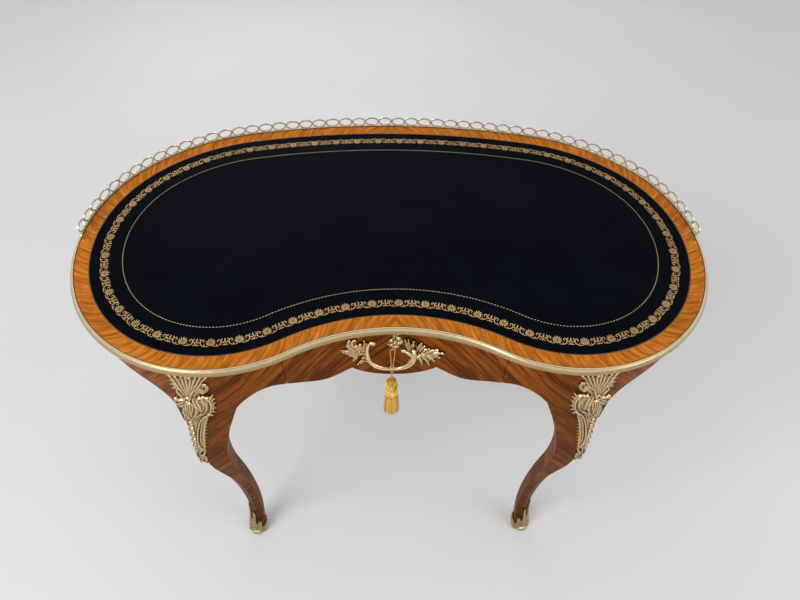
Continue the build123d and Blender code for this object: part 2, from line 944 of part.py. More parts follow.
def make_partition():
    outer = partition_inner + partition_thickness
    board = box_between(
        partition_inner, outer, -half_depth, half_depth, partition_bottom, apron_top
    )
    return inside_aprons(board)


def make_runner():
    """Drawer runner with its side guide in one piece."""
    top = drawer_side_bottom - runner_play
    shelf = box_between(
        runner_inner, partition_inner, -half_depth, half_depth, partition_bottom, top
    )
    guide_inner = drawer_side_half_span + guide_play
    guide = box_between(
        guide_inner, partition_inner, -half_depth, half_depth, top, top + guide_height
    )
    return behind_drawer_front(shelf + guide)


def make_kicker():
    bottom = drawer_side_top + kicker_play
    strip = box_between(
        runner_inner, partition_inner, rail_back_y, half_depth, bottom, apron_top
    )
    return behind_drawer_front(strip)


def make_front_rail():
    rail = box_between(
        -partition_inner,
        partition_inner,
        -half_depth,
        rail_back_y,
        apron_top - rail_height,
        apron_top,
    )
    relief = box_between(
        -lock_relief_half, lock_relief_half, -half_depth, lock_relief_y, apron_low, apron_top
    )
    return behind_drawer_front(rail) - relief


def make_drawer_stop():
    start = drawer_back_y + stop_gap
    low = drawer_side_bottom - runner_play
    return box_between(
        runner_inner, drawer_side_half_span, start, start + stop_length, low, low + stop_height
    )


def top_screw(x, y, low, play=0):
    """Countersunk screw up into the board from a rail or kicker."""
    head = upright_cylinder(x, y, low, low + top_screw_head_height, top_screw_head_radius + play)
    return head + upright_cylinder(x, y, low, low + top_screw_length, top_screw_radius + play)


def top_screw_low(x):
    if abs(x) > runner_inner:
        return drawer_side_top + kicker_play
    return apron_top - rail_height


# Drawer

def make_drawer_front():
    """Hollow curved front with the lower edge running on from the aprons."""
    band = kidney_ring(apron_outer, apron_inner, apron_low, drawer_front_top)
    half = drawer_half_width
    front = band & box_between(-half, half, -half_depth, 0, apron_low, drawer_front_top)
    return front - front_edge_tool()


def make_drawer_side():
    outer = drawer_side_half_span
    side = box_between(
        outer - drawer_side_thickness,
        outer,
        -half_depth,
        drawer_back_y,
        drawer_side_bottom,
        drawer_side_top,
    )
    return inside_aprons(side)


def make_drawer_back():
    half = drawer_side_half_span - drawer_side_thickness
    return box_between(
        -half,
        half,
        drawer_back_y - drawer_side_thickness,
        drawer_back_y,
        drawer_side_bottom,
        drawer_back_top,
    )


def make_drawer_bottom():
    half = drawer_side_half_span - drawer_side_thickness + groove_depth
    panel = box_between(
        -half,
        half,
        -half_depth,
        drawer_back_y - drawer_side_thickness + groove_depth,
        drawer_bottom_height,
        drawer_bottom_height + drawer_bottom_thickness,
    )
    return panel & kidney_slab(apron_inner + groove_depth, apron_low, apron_top)


# Handle

def handle_plate_piece(mirror_side):
    points = [
        (mirror_side * across * handle_half_span, handle_low + rise * handle_rise)
        for across, rise in handle_plate_shares
    ]
    face = Plane.XZ * make_face(Spline(*points, periodic=True))
    blank = extrude(face, amount=half_depth)
    outer = apron_outer + handle_plate_thickness
    return blank & kidney_ring(outer, apron_outer, apron_low, apron_top)


def make_handle():
    """Cast pull: two leaf plates and the grip hanging between them."""
    points = [
        (
            across * handle_half_span,
            front_face_y - reach * grip_reach,
            handle_low + rise * handle_rise,
        )
        for across, reach, rise in grip_path_shares
    ]
    path = Spline(*points)
    section = Plane(origin=path @ 0, z_dir=path % 0) * Circle(grip_radius)
    grip = sweep(section, path=path)
    blank = grip - kidney_slab(apron_outer, apron_low, apron_top)
    return blank + handle_plate_piece(1) + handle_plate_piece(-1)


def front_surface_y(offset, x):
    """Y of the hollow front at an offset and a distance from the middle."""
    reach = hollow_radius - offset
    return hollow_centre[1] + (reach ** 2 - x ** 2) ** (1 / 2)


def handle_screw(x, play=0):
    """Screw from inside the drawer front into the handle plate."""
    seat = front_surface_y(apron_inner, x) - handle_screw_seat
    tip = front_surface_y(apron_outer, x) - handle_screw_reach
    shaft = level_rod(x, seat, handle_screw_z, -pi / 2, 0, seat - tip, handle_screw_radius + play)
    top = handle_screw_head_height if play == 0 else 2 * handle_screw_seat
    head = level_rod(x, seat, handle_screw_z, pi / 2, 0, top, handle_screw_head_radius + play)
    return shaft + head


# Lock

def make_lock_case():
    case = box_between(
        -lock_half_width, lock_half_width, lock_front_y, lock_back_y, lock_bottom, lock_top
    )
    cavity = box_between(
        -lock_cavity_half,
        lock_cavity_half,
        lock_front_y + lock_wall,
        lock_back_y - lock_wall,
        lock_cavity_bottom,
        lock_top - lock_wall,
    )
    near = lock_front_y - lock_wall
    far = lock_front_y + 2 * lock_wall
    hole = key_rod(near, far, key_radius + key_running_play)
    bit_slot = bit_path_slot(near, far)
    return case - cavity - hole - bit_slot - bolt_slot()


def key_rod(near, far, radius):
    """Round rod on the key's own line between two depths."""
    return level_rod(0, near, key_height, pi / 2, 0, far - near, radius)


def rolled(shape):
    """Turn a shape about the key's line to the way the key rests."""
    centred = Pos(0, 0, -key_height) * shape
    return Pos(0, 0, key_height) * (Rotation(0, -key_roll, 0) * centred)


def bit_path_slot(near, far):
    """Slit beside the keyhole that lets the bit through as the key is pushed in."""
    thick = bit_half_thickness + key_play
    slot = box_between(
        -bit_reach - key_play, 0, near, far, key_height - thick, key_height + thick
    )
    return rolled(slot)


def bolt_slot():
    """Slot over the bolt through the top of the case and the plate."""
    half = bolt_half_width + bolt_play
    thick = bolt_half_thickness + bolt_play
    return box_between(
        bolt_x - half,
        bolt_x + half,
        bolt_y - thick,
        bolt_y + thick,
        lock_cavity_bottom,
        drawer_front_top + bolt_throw,
    )


def make_lock_plate():
    plate = box_between(
        -plate_half_width, plate_half_width, plate_front_y, lock_back_y, lock_top, drawer_front_top
    )
    return plate - bolt_slot()


def make_bolt():
    return box_between(
        bolt_x - bolt_half_width,
        bolt_x + bolt_half_width,
        bolt_y - bolt_half_thickness,
        bolt_y + bolt_half_thickness,
        bolt_bottom,
        bolt_top,
    )


def bolt_mortise():
    """Hollow in the underside of the board that takes the thrown bolt."""
    half = bolt_half_width + mortise_play
    thick = bolt_half_thickness + mortise_play
    top = bolt_top + bolt_throw + mortise_play
    return box_between(
        bolt_x - half, bolt_x + half, bolt_y - thick, bolt_y + thick, board_underside, top
    )


def lock_screw(x, play=0):
    seat = lock_back_y - lock_screw_head_height
    shaft = level_rod(x, seat, lock_screw_z, -pi / 2, 0, lock_screw_length, lock_screw_radius + play)
    run = lock_screw_head_height
    head = level_rod(x, seat, lock_screw_z, pi / 2, 0, run, lock_screw_head_radius + play)
    return shaft + head


def make_escutcheon():
    """Cast ring round the keyhole, fitted to the hollow front."""
    x_rod = level_rod(0, 0, key_height, -pi / 2, 0, half_depth, escutcheon_radius)
    outer = apron_outer + escutcheon_proud
    blank = x_rod & kidney_ring(outer, apron_outer, apron_low, table_height)
    return blank - keyhole()


def keyhole():
    far = lock_front_y
    near = -half_depth
    return key_rod(near, far, key_radius + keyhole_play) + bit_path_slot(near, far)


# Key, cord and tassel

def make_key():
    shank = key_rod(key_neck_y - bow_lobe_radius / 2, key_tip_y, key_radius)
    collar = key_rod(collar_start_y - collar_length, collar_start_y, collar_radius)
    bit = box_between(
        -bit_reach,
        0,
        bit_start_y,
        bit_start_y + bit_length,
        key_height - bit_half_thickness,
        key_height + bit_half_thickness,
    )
    lobes = ((bow_side_x, bow_side_y), (-bow_side_x, bow_side_y), (0, bow_near_y))
    bow = Pos(0, (key_neck_y + bow_side_y) / 2) * Rectangle(
        2 * neck_half_width, bow_side_y - key_neck_y
    )
    for x, y in lobes:
        bow = bow + Pos(x, y) * Circle(bow_lobe_radius)
    for x, y in lobes:
        bow = bow - Pos(x, y) * Circle(bow_hole_radius)
    plate = extrude(Pos(0, 0, key_height) * bow, amount=bow_half_thickness, both=True)
    return rolled(shank + collar + bit + plate)


def make_hitch():
    """Loop of the cord wrapped round the lower near rim of the bow."""
    reach = (bow_lobe_radius + bow_hole_radius) / 2
    ring = Plane(origin=(0, -reach, 0), z_dir=(1, 0, 0)) * Torus(hitch_ring_radius, hitch_wire_radius)
    return rolled(Pos(0, bow_near_y, key_height) * (Rotation(0, 0, hitch_turn) * ring))


def make_cord():
    """Doubled cord, up from the tassel, round the bend by the hitch and down again."""
    half = (
        (cord_top_x, cord_top_z),
        (cord_low_x, cord_join_z),
        (cord_low_x, cord_end_z),
    )
    right = [(cord_x + x, cord_y, z) for x, z in half]
    left = [(cord_x - x, cord_y, z) for x, z in reversed(half)]
    lean = atan2(cord_top_x - cord_low_x, cord_top_z - cord_join_z)
    low_radius = bend_share * (cord_join_z - cord_end_z) / tan(lean / 2)
    top_radius = bend_share * 2 * cord_top_x / tan((pi / 2 + lean) / 2)
    print("cord bend radii", round(low_radius, 1), round(top_radius, 1))
    path = FilletPolyline(*left, *right, radius=[low_radius, top_radius, top_radius, low_radius])
    section = Plane(origin=path @ 0, z_dir=path % 0) * Circle(cord_radius)
    return sweep(section, path=path)


def make_knot():
    return Pos(cord_x, cord_y, cord_join_z - knot_wire_radius) * Torus(knot_ring_radius, knot_wire_radius)


def turned_piece(shares, radius, length, top):
    """Solid turned about the tassel's line from shares of its radius and length."""
    points = [(wide * radius, 0, -drop * length) for wide, drop in shares]
    edges = [
        Line(points[0], points[1]),
        Spline(*points[1:]),
        Line(points[-1], (0, 0, points[-1][2])),
        Line((0, 0, points[-1][2]), points[0]),
    ]
    return Pos(cord_x, cord_y, top) * revolve(make_face(edges), axis=Axis.Z)


# Putting the table together

nodes = {}


def add(name, shape):
    nodes[name] = shape


def add_pair(name, shape):
    """Keep a right hand piece and its mirrored left hand twin."""
    add(name + "_right", shape)
    add(name + "_left", mirror_piece(shape))


def group(shapes):
    return Compound(children=[solid for shape in shapes for solid in shape.solids()])


def cut(shape, tools):
    """Take each tool away, keeping the faces of the shape as they were."""
    with SkipClean():
        for tool in tools:
            shape = shape - tool
    return shape


def both_sides(shapes):
    return [*shapes, *[mirror_piece(shape) for shape in shapes]]


# Legs with their mounts and sabots
mount_pin_heights = [mount_top - drop for drop in mount_pin_drops]
mount_pins = []
sabot_screws = []
bare_legs = []
for place, leg in legs.items():
    bare = make_leg(leg)
    bare_legs += both_sides([bare])
    bores = [mount_pin_bore(leg, height) for height in mount_pin_heights]
    screw_hole = sabot_screw_bore(leg)
    add_pair("leg_" + place, cut(bare, [*bores, screw_hole]))
    add_pair("knee_mount_" + place, cut(make_knee_mount(leg, bare), bores))
    add_pair("sabot_" + place, make_sabot(leg, bare) - screw_hole)
    mount_pins += both_sides([mount_pin(leg, height) for height in mount_pin_heights])
    sabot_screws += both_sides([make_sabot_screw(leg)])
add("mount_pins", group(mount_pins))
add("sabot_screws", group(sabot_screws))

# Top
pin_places = moulding_pin_places()
gallery_places = gallery_pin_places()
gallery_bores = [gallery_pin_bore(x, y) for x, y in gallery_places]
moulding_bores = [
    moulding_pin(place, pin_play, moulding_pin_length) for place in pin_places
]
top_screws = [top_screw(x, y, top_screw_low(x)) for x, y in top_screw_spots]
top_screw_bores = [top_screw(x, y, top_screw_low(x), pin_play) for x, y in top_screw_spots]
board = kidney_slab(wood_edge, board_underside, veneer_underside)
board_bores = [*moulding_bores, *top_screw_bores, bolt_mortise()]
add("top_board", cut(board, board_bores))
banding = kidney_ring(outer_line_edge, stringing_width, veneer_underside, table_height)
add("top_crossbanding", banding)
add("inner_line", kidney_ring(stringing_width, 0, veneer_underside, table_height))
add("outer_line", kidney_ring(wood_edge, outer_line_edge, veneer_underside, table_height))
leather_top = veneer_underside + leather_thickness
add("leather_surface", kidney_slab(-leather_play, veneer_underside, leather_top))
moulding = swept_section(moulding_section, half_arcs)
add("edge_moulding", cut(moulding, [*moulding_bores, *gallery_bores]))
add("moulding_pins", group([moulding_pin(place) for place in pin_places]))
add("gallery", cut(make_gallery(), gallery_bores))
add("gallery_pins", group([gallery_pin(x, y) for x, y in gallery_places]))

# Aprons and the drawer pocket
for name, solid in apron_pieces().items():
    add(name, cut(solid, bare_legs))
add_pair("pocket_side", make_partition())
add_pair("drawer_runner", make_runner())
add_pair("drawer_kicker", make_kicker())
add_pair("drawer_stop", make_drawer_stop())
for name in ("drawer_kicker_left", "drawer_kicker_right"):
    nodes[name] = cut(nodes[name], top_screw_bores)
add("front_rail", cut(make_front_rail(), top_screw_bores))
add("top_screws", group(top_screws))

# Drawer
drawer_bottom = make_drawer_bottom()
front = make_drawer_front()
lock_room = box_between(
    -lock_half_width, lock_half_width, lock_front_y, 0, lock_bottom, lock_top
)
plate_room = box_between(
    -plate_half_width, plate_half_width, plate_front_y, 0, lock_top, drawer_front_top
)
handle_bores = [handle_screw(x, pin_play) for x in (handle_screw_x, -handle_screw_x)]
lock_bores = [lock_screw(x, pin_play) for x in (lock_screw_x, -lock_screw_x)]
front_tools = [drawer_bottom, lock_room, plate_room, keyhole(), *handle_bores, *lock_bores]
add("drawer_front", cut(front, front_tools))
add_pair("drawer_side", make_drawer_side() - drawer_bottom)
add("drawer_back", make_drawer_back() - drawer_bottom)
add("drawer_bottom", drawer_bottom)
add("drawer_handle", cut(make_handle(), handle_bores))
handle_screws = [handle_screw(x) for x in (handle_screw_x, -handle_screw_x)]
add("handle_screws", group(handle_screws))

# Lock, key and tassel
add("lock_case", cut(make_lock_case(), lock_bores))
add("lock_plate", make_lock_plate())
add("lock_screws", group([lock_screw(x) for x in (lock_screw_x, -lock_screw_x)]))
add("escutcheon", make_escutcheon())
add("lock_bolt", make_bolt())
add("key", make_key())
add("key_hitch", make_hitch())
add("tassel_cord", make_cord())
add("tassel_knot", make_knot())
add("tassel_head", turned_piece(head_shares, head_radius, head_length, head_top))
add("tassel_ruff", turned_piece(ruff_shares, ruff_radius, ruff_length, ruff_top))
add("tassel_skirt", turned_piece(skirt_shares, skirt_radius, skirt_length, skirt_top))

for name, shape in nodes.items():
    export_step(shape, "parts/" + name + ".step")
print(len(nodes), "pieces written")
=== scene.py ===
import bisect
import json
import math
import random

import bpy
from mathutils import Matrix, Vector
from mathutils.bvhtree import BVHTree
import numpy as np


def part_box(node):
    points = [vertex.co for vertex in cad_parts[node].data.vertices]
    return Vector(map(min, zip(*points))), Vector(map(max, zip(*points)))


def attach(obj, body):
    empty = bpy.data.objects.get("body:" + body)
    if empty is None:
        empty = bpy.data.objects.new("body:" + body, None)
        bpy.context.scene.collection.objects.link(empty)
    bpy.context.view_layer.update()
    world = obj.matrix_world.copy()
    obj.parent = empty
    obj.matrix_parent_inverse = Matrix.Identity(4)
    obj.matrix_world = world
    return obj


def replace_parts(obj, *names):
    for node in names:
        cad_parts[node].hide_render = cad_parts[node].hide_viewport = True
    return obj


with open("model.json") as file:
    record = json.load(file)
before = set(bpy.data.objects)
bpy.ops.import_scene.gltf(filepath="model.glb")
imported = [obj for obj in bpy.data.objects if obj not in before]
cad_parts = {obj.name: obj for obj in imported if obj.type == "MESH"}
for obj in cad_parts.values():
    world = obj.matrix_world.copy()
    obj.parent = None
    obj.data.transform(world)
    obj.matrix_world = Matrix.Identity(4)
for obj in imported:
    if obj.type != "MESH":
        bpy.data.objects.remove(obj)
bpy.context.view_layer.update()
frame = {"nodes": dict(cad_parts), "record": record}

MM = 0.001
PER_METRE = 1000


# Camera, from the two vanishing points of the photograph

PHOTO_WIDTH = 800.0
PHOTO_MIDDLE = (400.0, 300.0)
FOCAL_PIXELS = 612.0
SENSOR_WIDTH = 36.0
CAMERA_PLACE = (-0.0245, -0.7997, 1.555)
DEPTH_POINT = (-20.4, 767.8, -612.0)
ZENITH_POINT = (19.55, 488.5, 612.0)


def in_scene(name, data):
    """New object, linked into the scene."""
    item = bpy.data.objects.new(name, data)
    bpy.context.scene.collection.objects.link(item)
    return item


def place_camera():
    data = bpy.data.cameras.new("photo_camera")
    data.sensor_width = SENSOR_WIDTH
    data.lens = FOCAL_PIXELS / PHOTO_WIDTH * SENSOR_WIDTH
    data.clip_start = 0.02
    data.clip_end = 60.0
    camera = in_scene("photo_camera", data)
    depth = Vector(DEPTH_POINT).normalized()
    across = depth.cross(Vector(ZENITH_POINT)).normalized()
    upward = across.cross(depth)
    turn = Matrix((across, depth, upward)).to_4x4()
    camera.matrix_world = Matrix.Translation(CAMERA_PLACE) @ turn
    bpy.context.scene.camera = camera


place_camera()


# Colours and node work

def tone(red, green, blue):
    """Linear colour of an 8 bit sRGB colour."""
    channels = []
    for value in (red, green, blue):
        share = value / 255.0
        low = share / 12.92
        high = ((share + 0.055) / 1.055) ** 2.4
        channels.append(low if share <= 0.04045 else high)
    return (*channels, 1.0)


def grey(value):
    return (value, value, value, 1.0)


class Value:
    """What a shader node gives out. Sums and products of it add maths nodes."""

    def __init__(self, paint, socket):
        self.paint, self.socket = paint, socket

    def __add__(self, other):
        return self.paint.maths("ADD", self, other)

    def __sub__(self, other):
        return self.paint.maths("SUBTRACT", self, other)

    def __rsub__(self, other):
        return self.paint.maths("SUBTRACT", other, self)

    def __mul__(self, other):
        return self.paint.maths("MULTIPLY", self, other)

    __rmul__ = __mul__


class Paint:
    """One procedural material. Socket settings are given by name."""

    def __init__(self, name, **sockets):
        self.material = bpy.data.materials.new(name)
        self.material.use_nodes = True
        self.tree = self.material.node_tree
        self.shader = self.tree.nodes["Principled BSDF"]
        for key, value in sockets.items():
            self.shader.inputs[key.replace("_", " ")].default_value = value
        self.place = self.add("TexCoord", out="Object")

    def node(self, kind, links=None, **settings):
        node = self.tree.nodes.new("ShaderNode" + kind)
        for name, value in settings.items():
            setattr(node, name, value)
        for name, value in (links or {}).items():
            if isinstance(value, Value):
                self.tree.links.new(value.socket, node.inputs[name])
            else:
                node.inputs[name].default_value = value
        return node

    def add(self, kind, links=None, out=0, **settings):
        return Value(self, self.node(kind, links, **settings).outputs[out])

    def maths(self, operation, first, second=0.0):
        return self.add("Math", {0: first, 1: second}, operation=operation)

    def vector(self, x, y, z):
        return self.add("CombineXYZ", {0: x, 1: y, 2: z})

    def parts(self, vector):
        outputs = self.node("SeparateXYZ", {0: vector}).outputs
        return [Value(self, outputs[k]) for k in range(3)]

    def facing(self):
        return self.parts(self.add("NewGeometry", out="Normal"))

    def mark(self, name):
        return self.add("Attribute", out="Fac", attribute_name=name)

    def noise(self, scale, detail, rough=0.5, distortion=0.0, at=None):
        links = {"Vector": at or self.place, "Scale": scale, "Detail": detail,
                 "Roughness": rough, "Distortion": distortion}
        return self.add("TexNoise", links)

    def blend(self, factor, first, second, mode="MIX"):
        return self.add("Mix", {0: factor, 6: first, 7: second}, out=2,
                        data_type="RGBA", blend_type=mode)

    def ramp(self, factor, *stops):
        node = self.node("ValToRGB", {0: factor})
        elements = node.color_ramp.elements
        while len(elements) < len(stops):
            elements.new(0.5)
        for element, (place, colour) in zip(elements, stops):
            element.position = place
            element.color = colour
        return Value(self, node.outputs[0])

    def shade(self, base, factor, *stops):
        """Darken a colour where a factor is low. Each stop is a place and a share."""
        dark = self.ramp(factor, *[(place, grey(share)) for place, share in stops])
        return self.blend(1.0, base, dark, "MULTIPLY")

    def cover(self, base, gloss=None, height=None, depth=0.0, strength=0.5):
        """Link what has been made to the shader and give the material."""
        links = {"Base Color": base}
        if gloss is not None:
            links["Roughness"] = gloss
        if height is not None:
            links["Normal"] = self.add("Bump", {"Height": height, "Distance": depth,
                                                "Strength": strength})
        for name, value in links.items():
            self.tree.links.new(value.socket, self.shader.inputs[name])
        return self.material


# Materials

GRAIN_STOPS = (0.33, 0.45, 0.55, 0.68)
CHASING_BUMP = 0.00003
PORE_BUMP = 0.00006


def wood(name, tones, lay, fine=430.0, lengthwise=0.05, coat=0.025, rough=0.36,
         figure=0.6, streak=75.0, low=1.0):
    """Straight grained wood. Lay gives its across, along and depth values.
    Low is the share of its lightness that the wood keeps near the floor: painted shade, darker
    towards the floor."""
    paint = Paint(name, Coat_Weight=coat, Coat_Roughness=0.14, Specular_IOR_Level=0.035)
    across, along, depth = lay(paint)
    plain = paint.vector(across, along, depth)
    drift = paint.noise(9.0, 2.0, at=plain) * 0.014 + across
    stretched = paint.vector(drift, along * lengthwise, depth)
    broad = paint.noise(streak, 3.0, 0.55, 0.35, at=stretched)
    narrow = paint.noise(fine, 5.0, 0.62, at=stretched)
    pores = paint.noise(3.4 * fine, 2.0, at=stretched)
    mixed = narrow * (1.0 - figure) + broad * figure
    base = paint.ramp(mixed, *zip(GRAIN_STOPS, tones))
    base = paint.shade(base, pores, (0.30, 0.55), (0.47, 1.0))
    base = paint.shade(base, paint.noise(7.0, 2.0, at=plain), (0.30, 0.80), (0.70, 1.0))
    # Painted shade: the wood darkens towards the floor, down to the share low.
    if low < 1.0:
        height = paint.parts(paint.place)[2]
        base = paint.shade(base, height, (0.05, low), (0.62, 0.84), (0.70, 1.0))
    return paint.cover(base, narrow * 0.16 + (rough - 0.08), pores, PORE_BUMP)


LOBE_PLACE = (0.294, -0.051)
LOBE_TURN = 0.25
OUTER_FACE = 0.66


def slanted(paint):
    """Grain laid slantwise on every face, falling away from the middle of the front.

    One coordinate runs round the table, one out from the middle of its lobes. The face
    decides which of them its veneer lies along."""
    x, y, z = paint.parts(paint.place)
    facing = paint.facing()
    wide = paint.maths("ABSOLUTE", x)
    lobe = paint.maths("MAXIMUM", wide - LOBE_PLACE[0], 0.0005)
    deep = y - LOBE_PLACE[1]
    reach = paint.maths("SQRT", lobe * lobe + deep * deep)
    inner = LOBE_PLACE[0] - paint.maths("MINIMUM", wide, LOBE_PLACE[0])
    run = inner * paint.maths("SIGN", deep)
    run = paint.maths("ARCTAN2", deep, lobe) * LOBE_TURN + run
    sideways = paint.maths("SIGN", x) * lobe
    toward = paint.maths("DIVIDE", facing[0] * sideways + facing[1] * deep, reach)
    outer = paint.maths("GREATER_THAN", paint.maths("ABSOLUTE", toward), OUTER_FACE)
    swap = outer * (run - reach)
    flat = reach + swap
    return flat + z, flat - z, (run - swap) * 0.3


def along_x(paint):
    x, y, z = paint.parts(paint.place)
    return y, x, z


def along_y(paint):
    return paint.parts(paint.place)


def around_edge(paint):
    """Crossbanding grain from the ring's map: u round the top, v across the band.
    Each veneer round the top leans by its own amount, and bends outward a little."""
    round_top, outward, _ = paint.parts(paint.add("UVMap", uv_map="band"))
    run = paint.maths("ABSOLUTE", round_top)
    veneer = paint.maths("FLOOR", run * 7.1)
    lean = paint.maths("SINE", veneer * 2.3) * 0.22 + 0.40
    return run - outward * lean - outward * outward * 12.0, outward, veneer


def leather():
    paint = Paint("navy_leather", Specular_IOR_Level=0.02)
    links = {"Vector": paint.place, "Scale": 780.0, "Randomness": 0.9}
    cells = paint.add("TexVoronoi", links, feature="DISTANCE_TO_EDGE")
    cells = paint.maths("MINIMUM", cells * 4.0, 1.0)
    cloud = paint.noise(11.0, 5.0, 0.6)
    base = paint.ramp(cloud, (0.35, tone(3, 5, 10)), (0.65, tone(6, 9, 15)))
    speck = paint.noise(520.0, 2.0, 0.7)
    glint = paint.ramp(speck, (0.66, grey(0.0)), (0.74, grey(1.0)))
    base = paint.blend(glint * 0.5, base, tone(30, 34, 48))
    relief = paint.noise(2400.0, 3.0) * 0.3 + cells
    return paint.cover(base, cloud * 0.2 + 0.42, relief, 0.00012, 0.7)


def metal(name, bright, deep, rough=0.24, wear=40.0, shade_in_hollows=False, metallic=1.0, low=1.0):
    """Polished cast metal, with painted shade darkening its hollows where the mesh carries a
    map of them.
    Low is the share of its lightness that the metal keeps near the floor: painted shade, darker
    towards the floor."""
    paint = Paint(name, Metallic=metallic)
    cloud = paint.noise(wear, 5.0, 0.6)
    base = paint.ramp(cloud, (0.34, deep), (0.52, bright))
    base = paint.blend(0.55, bright, base)
    # Painted shade: darker where the hollow map is low, in the hollows of the relief.
    if shade_in_hollows:
        dark = paint.ramp(paint.mark("hollow"), (0.05, tone(70, 52, 28)),
                          (0.36, tone(160, 134, 94)), (0.68, grey(1.0)))
        base = paint.blend(1.0, base, dark, "MULTIPLY")
    # Painted shade: the metal darkens towards the floor, down to the share low.
    if low < 1.0:
        base = paint.shade(base, paint.parts(paint.place)[2], (0.08, low), (0.42, 1.0))
    return paint.cover(base, cloud * 0.14 + (rough - 0.07), paint.noise(900.0, 3.0),
                       CHASING_BUMP)


def gilding(name, dull, bright):
    """Gold leaf, rubbed through to a dull brown here and there."""
    paint = Paint(name, Metallic=0.75)
    worn = paint.noise(260.0, 4.0, 0.7)
    gold = paint.ramp(paint.noise(22.0, 2.0), (0.3, dull), (0.7, bright))
    rubbed = paint.ramp(worn, (0.30, grey(1.0)), (0.40, grey(0.0)))
    base = paint.blend(rubbed * 0.7, gold, tone(84, 66, 44))
    return paint.cover(base, worn * 0.2 + 0.36, worn, 0.00006, 0.6)


def thread(name, light, mid, dark):
    """Twisted thread, its tone taken in part from the mark of each strand."""
    paint = Paint(name, Sheen_Weight=0.35, Sheen_Roughness=0.4, Specular_IOR_Level=0.45)
    fibre = paint.noise(1600.0, 3.0)
    mixed = fibre * 0.5 + paint.mark("strand") * 0.5
    base = paint.ramp(mixed, (0.22, dark), (0.45, mid), (0.72, light))
    return paint.cover(base, fibre * 0.2 + 0.36, fibre, 0.0001)


def moulding_brass_painted_reflection():
    """Lacquered brass of the edge moulding, with painted reflection: pale on its upper faces,
    tan on its sides.
    """
    paint = Paint("moulding_brass_painted_reflection", Metallic=1.0)
    cloud = paint.noise(30.0, 4.0, 0.6)
    # Painted reflection: the tone follows how far each face looks up, pale on top and tan on
    # the sides.
    level = cloud * 0.24 + (paint.facing()[2] - 0.12)
    base = paint.ramp(level, (0.05, tone(178, 150, 104)), (0.42, tone(208, 181, 130)),
                      (0.66, tone(226, 203, 158)), (0.92, tone(238, 218, 178)))
    spotted = paint.shade(base, paint.noise(240.0, 4.0, 0.7), (0.30, 0.55), (0.44, 1.0))
    base = paint.blend(0.7, base, spotted)
    return paint.cover(base, cloud * 0.14 + 0.2, paint.noise(900.0, 3.0), CHASING_BUMP)


def stringing():
    paint = Paint("dark_stringing", Coat_Weight=0.4, Coat_Roughness=0.2)
    grain = paint.noise(600.0, 4.0)
    base = paint.ramp(grain, (0.3, tone(28, 16, 10)), (0.7, tone(58, 36, 22)))
    return paint.cover(base, grain * 0.2 + 0.3)


KINGWOOD = (tone(54, 21, 0), tone(103, 49, 2), tone(146, 77, 8), tone(178, 101, 16))
BANDING = (tone(126, 62, 14), tone(168, 94, 24), tone(200, 118, 36), tone(224, 146, 60))
LINING = (tone(120, 84, 48), tone(158, 118, 72), tone(182, 142, 94), tone(200, 162, 114))
CARCASS = (tone(92, 62, 36), tone(124, 88, 54), tone(146, 106, 68), tone(160, 122, 84))

GLAZED = {
    # Painted shade on the legs, darker towards the floor.
    "kingwood_veneer": wood("kingwood_veneer", KINGWOOD, slanted, low=0.56),
    "kingwood_banding": wood("kingwood_banding", BANDING, around_edge, fine=520.0,
                             streak=150.0, figure=0.55, lengthwise=0.12),
    "dark_stringing": stringing(),
    "navy_leather": leather(),
    "carcass_wood": wood("carcass_wood", CARCASS, along_x, coat=0.0, rough=0.6),
    "drawer_lining_wood": wood("drawer_lining_wood", LINING, along_y, coat=0.0, rough=0.58),
    "gilt_brass": metal("gilt_brass", tone(240, 228, 200), tone(206, 188, 146)),
    "key_brass": metal("key_brass", tone(214, 200, 164), tone(150, 136, 100), rough=0.3,
                       wear=220.0),
    "lock_steel": metal("lock_steel", tone(150, 148, 144), tone(96, 92, 86), rough=0.38),
    "screw_steel": metal("screw_steel", tone(168, 160, 140), tone(110, 100, 80), rough=0.34),
    "gold_thread": thread("gold_thread", tone(250, 216, 96), tone(226, 176, 50),
                          tone(150, 100, 14)),
}
# Painted shade: darker in the hollows, and towards the floor.
ORMOLU = metal("chased_ormolu", tone(240, 216, 172), tone(194, 168, 114), rough=0.25,
               wear=160.0, shade_in_hollows=True, low=0.74)
GALLERY_CAST = metal("gallery_brass", tone(214, 208, 184), tone(136, 126, 100), rough=0.2,
                     wear=120.0, metallic=0.6)
CORD_THREAD = thread("cord_thread", tone(238, 210, 152), tone(214, 178, 112),
                     tone(160, 122, 62))
# Painted shade in the hollows.
KEY_CAST = metal("key_chasing", tone(216, 202, 168), tone(150, 134, 98), rough=0.28,
                 wear=300.0, shade_in_hollows=True)
MOULDING_PAINTED_REFLECTION = moulding_brass_painted_reflection()
TOOLING = gilding("gilt_tooling", tone(208, 166, 108), tone(232, 194, 138))
ROPE_GILDING = gilding("gilt_rope", tone(244, 214, 160), tone(255, 236, 190))


# Which finish each CAD node has

NODE_SLOTS = {item["node"]: item["material_slot"] for item in frame["record"]["subparts"]}
FINISHES = {
    "edge_moulding": MOULDING_PAINTED_REFLECTION,
    "moulding_pins": MOULDING_PAINTED_REFLECTION,
    "gallery": GALLERY_CAST,
    "gallery_pins": GALLERY_CAST,
}
for node, name, tones in (("top_board", "board_wood", CARCASS),
                          ("drawer_bottom", "bottom_wood", LINING),
                          ("drawer_back", "back_wood", LINING)):
    FINISHES[node] = wood(name, tones, along_x, coat=0.0, rough=0.6)


def dress_nodes():
    for name, node in frame["nodes"].items():
        finish = FINISHES.get(name, GLAZED[NODE_SLOTS[name]])
        if not node.material_slots:
            node.data.materials.append(finish)
        for place in node.material_slots:
            place.material = finish


dress_nodes()


# Mesh helpers

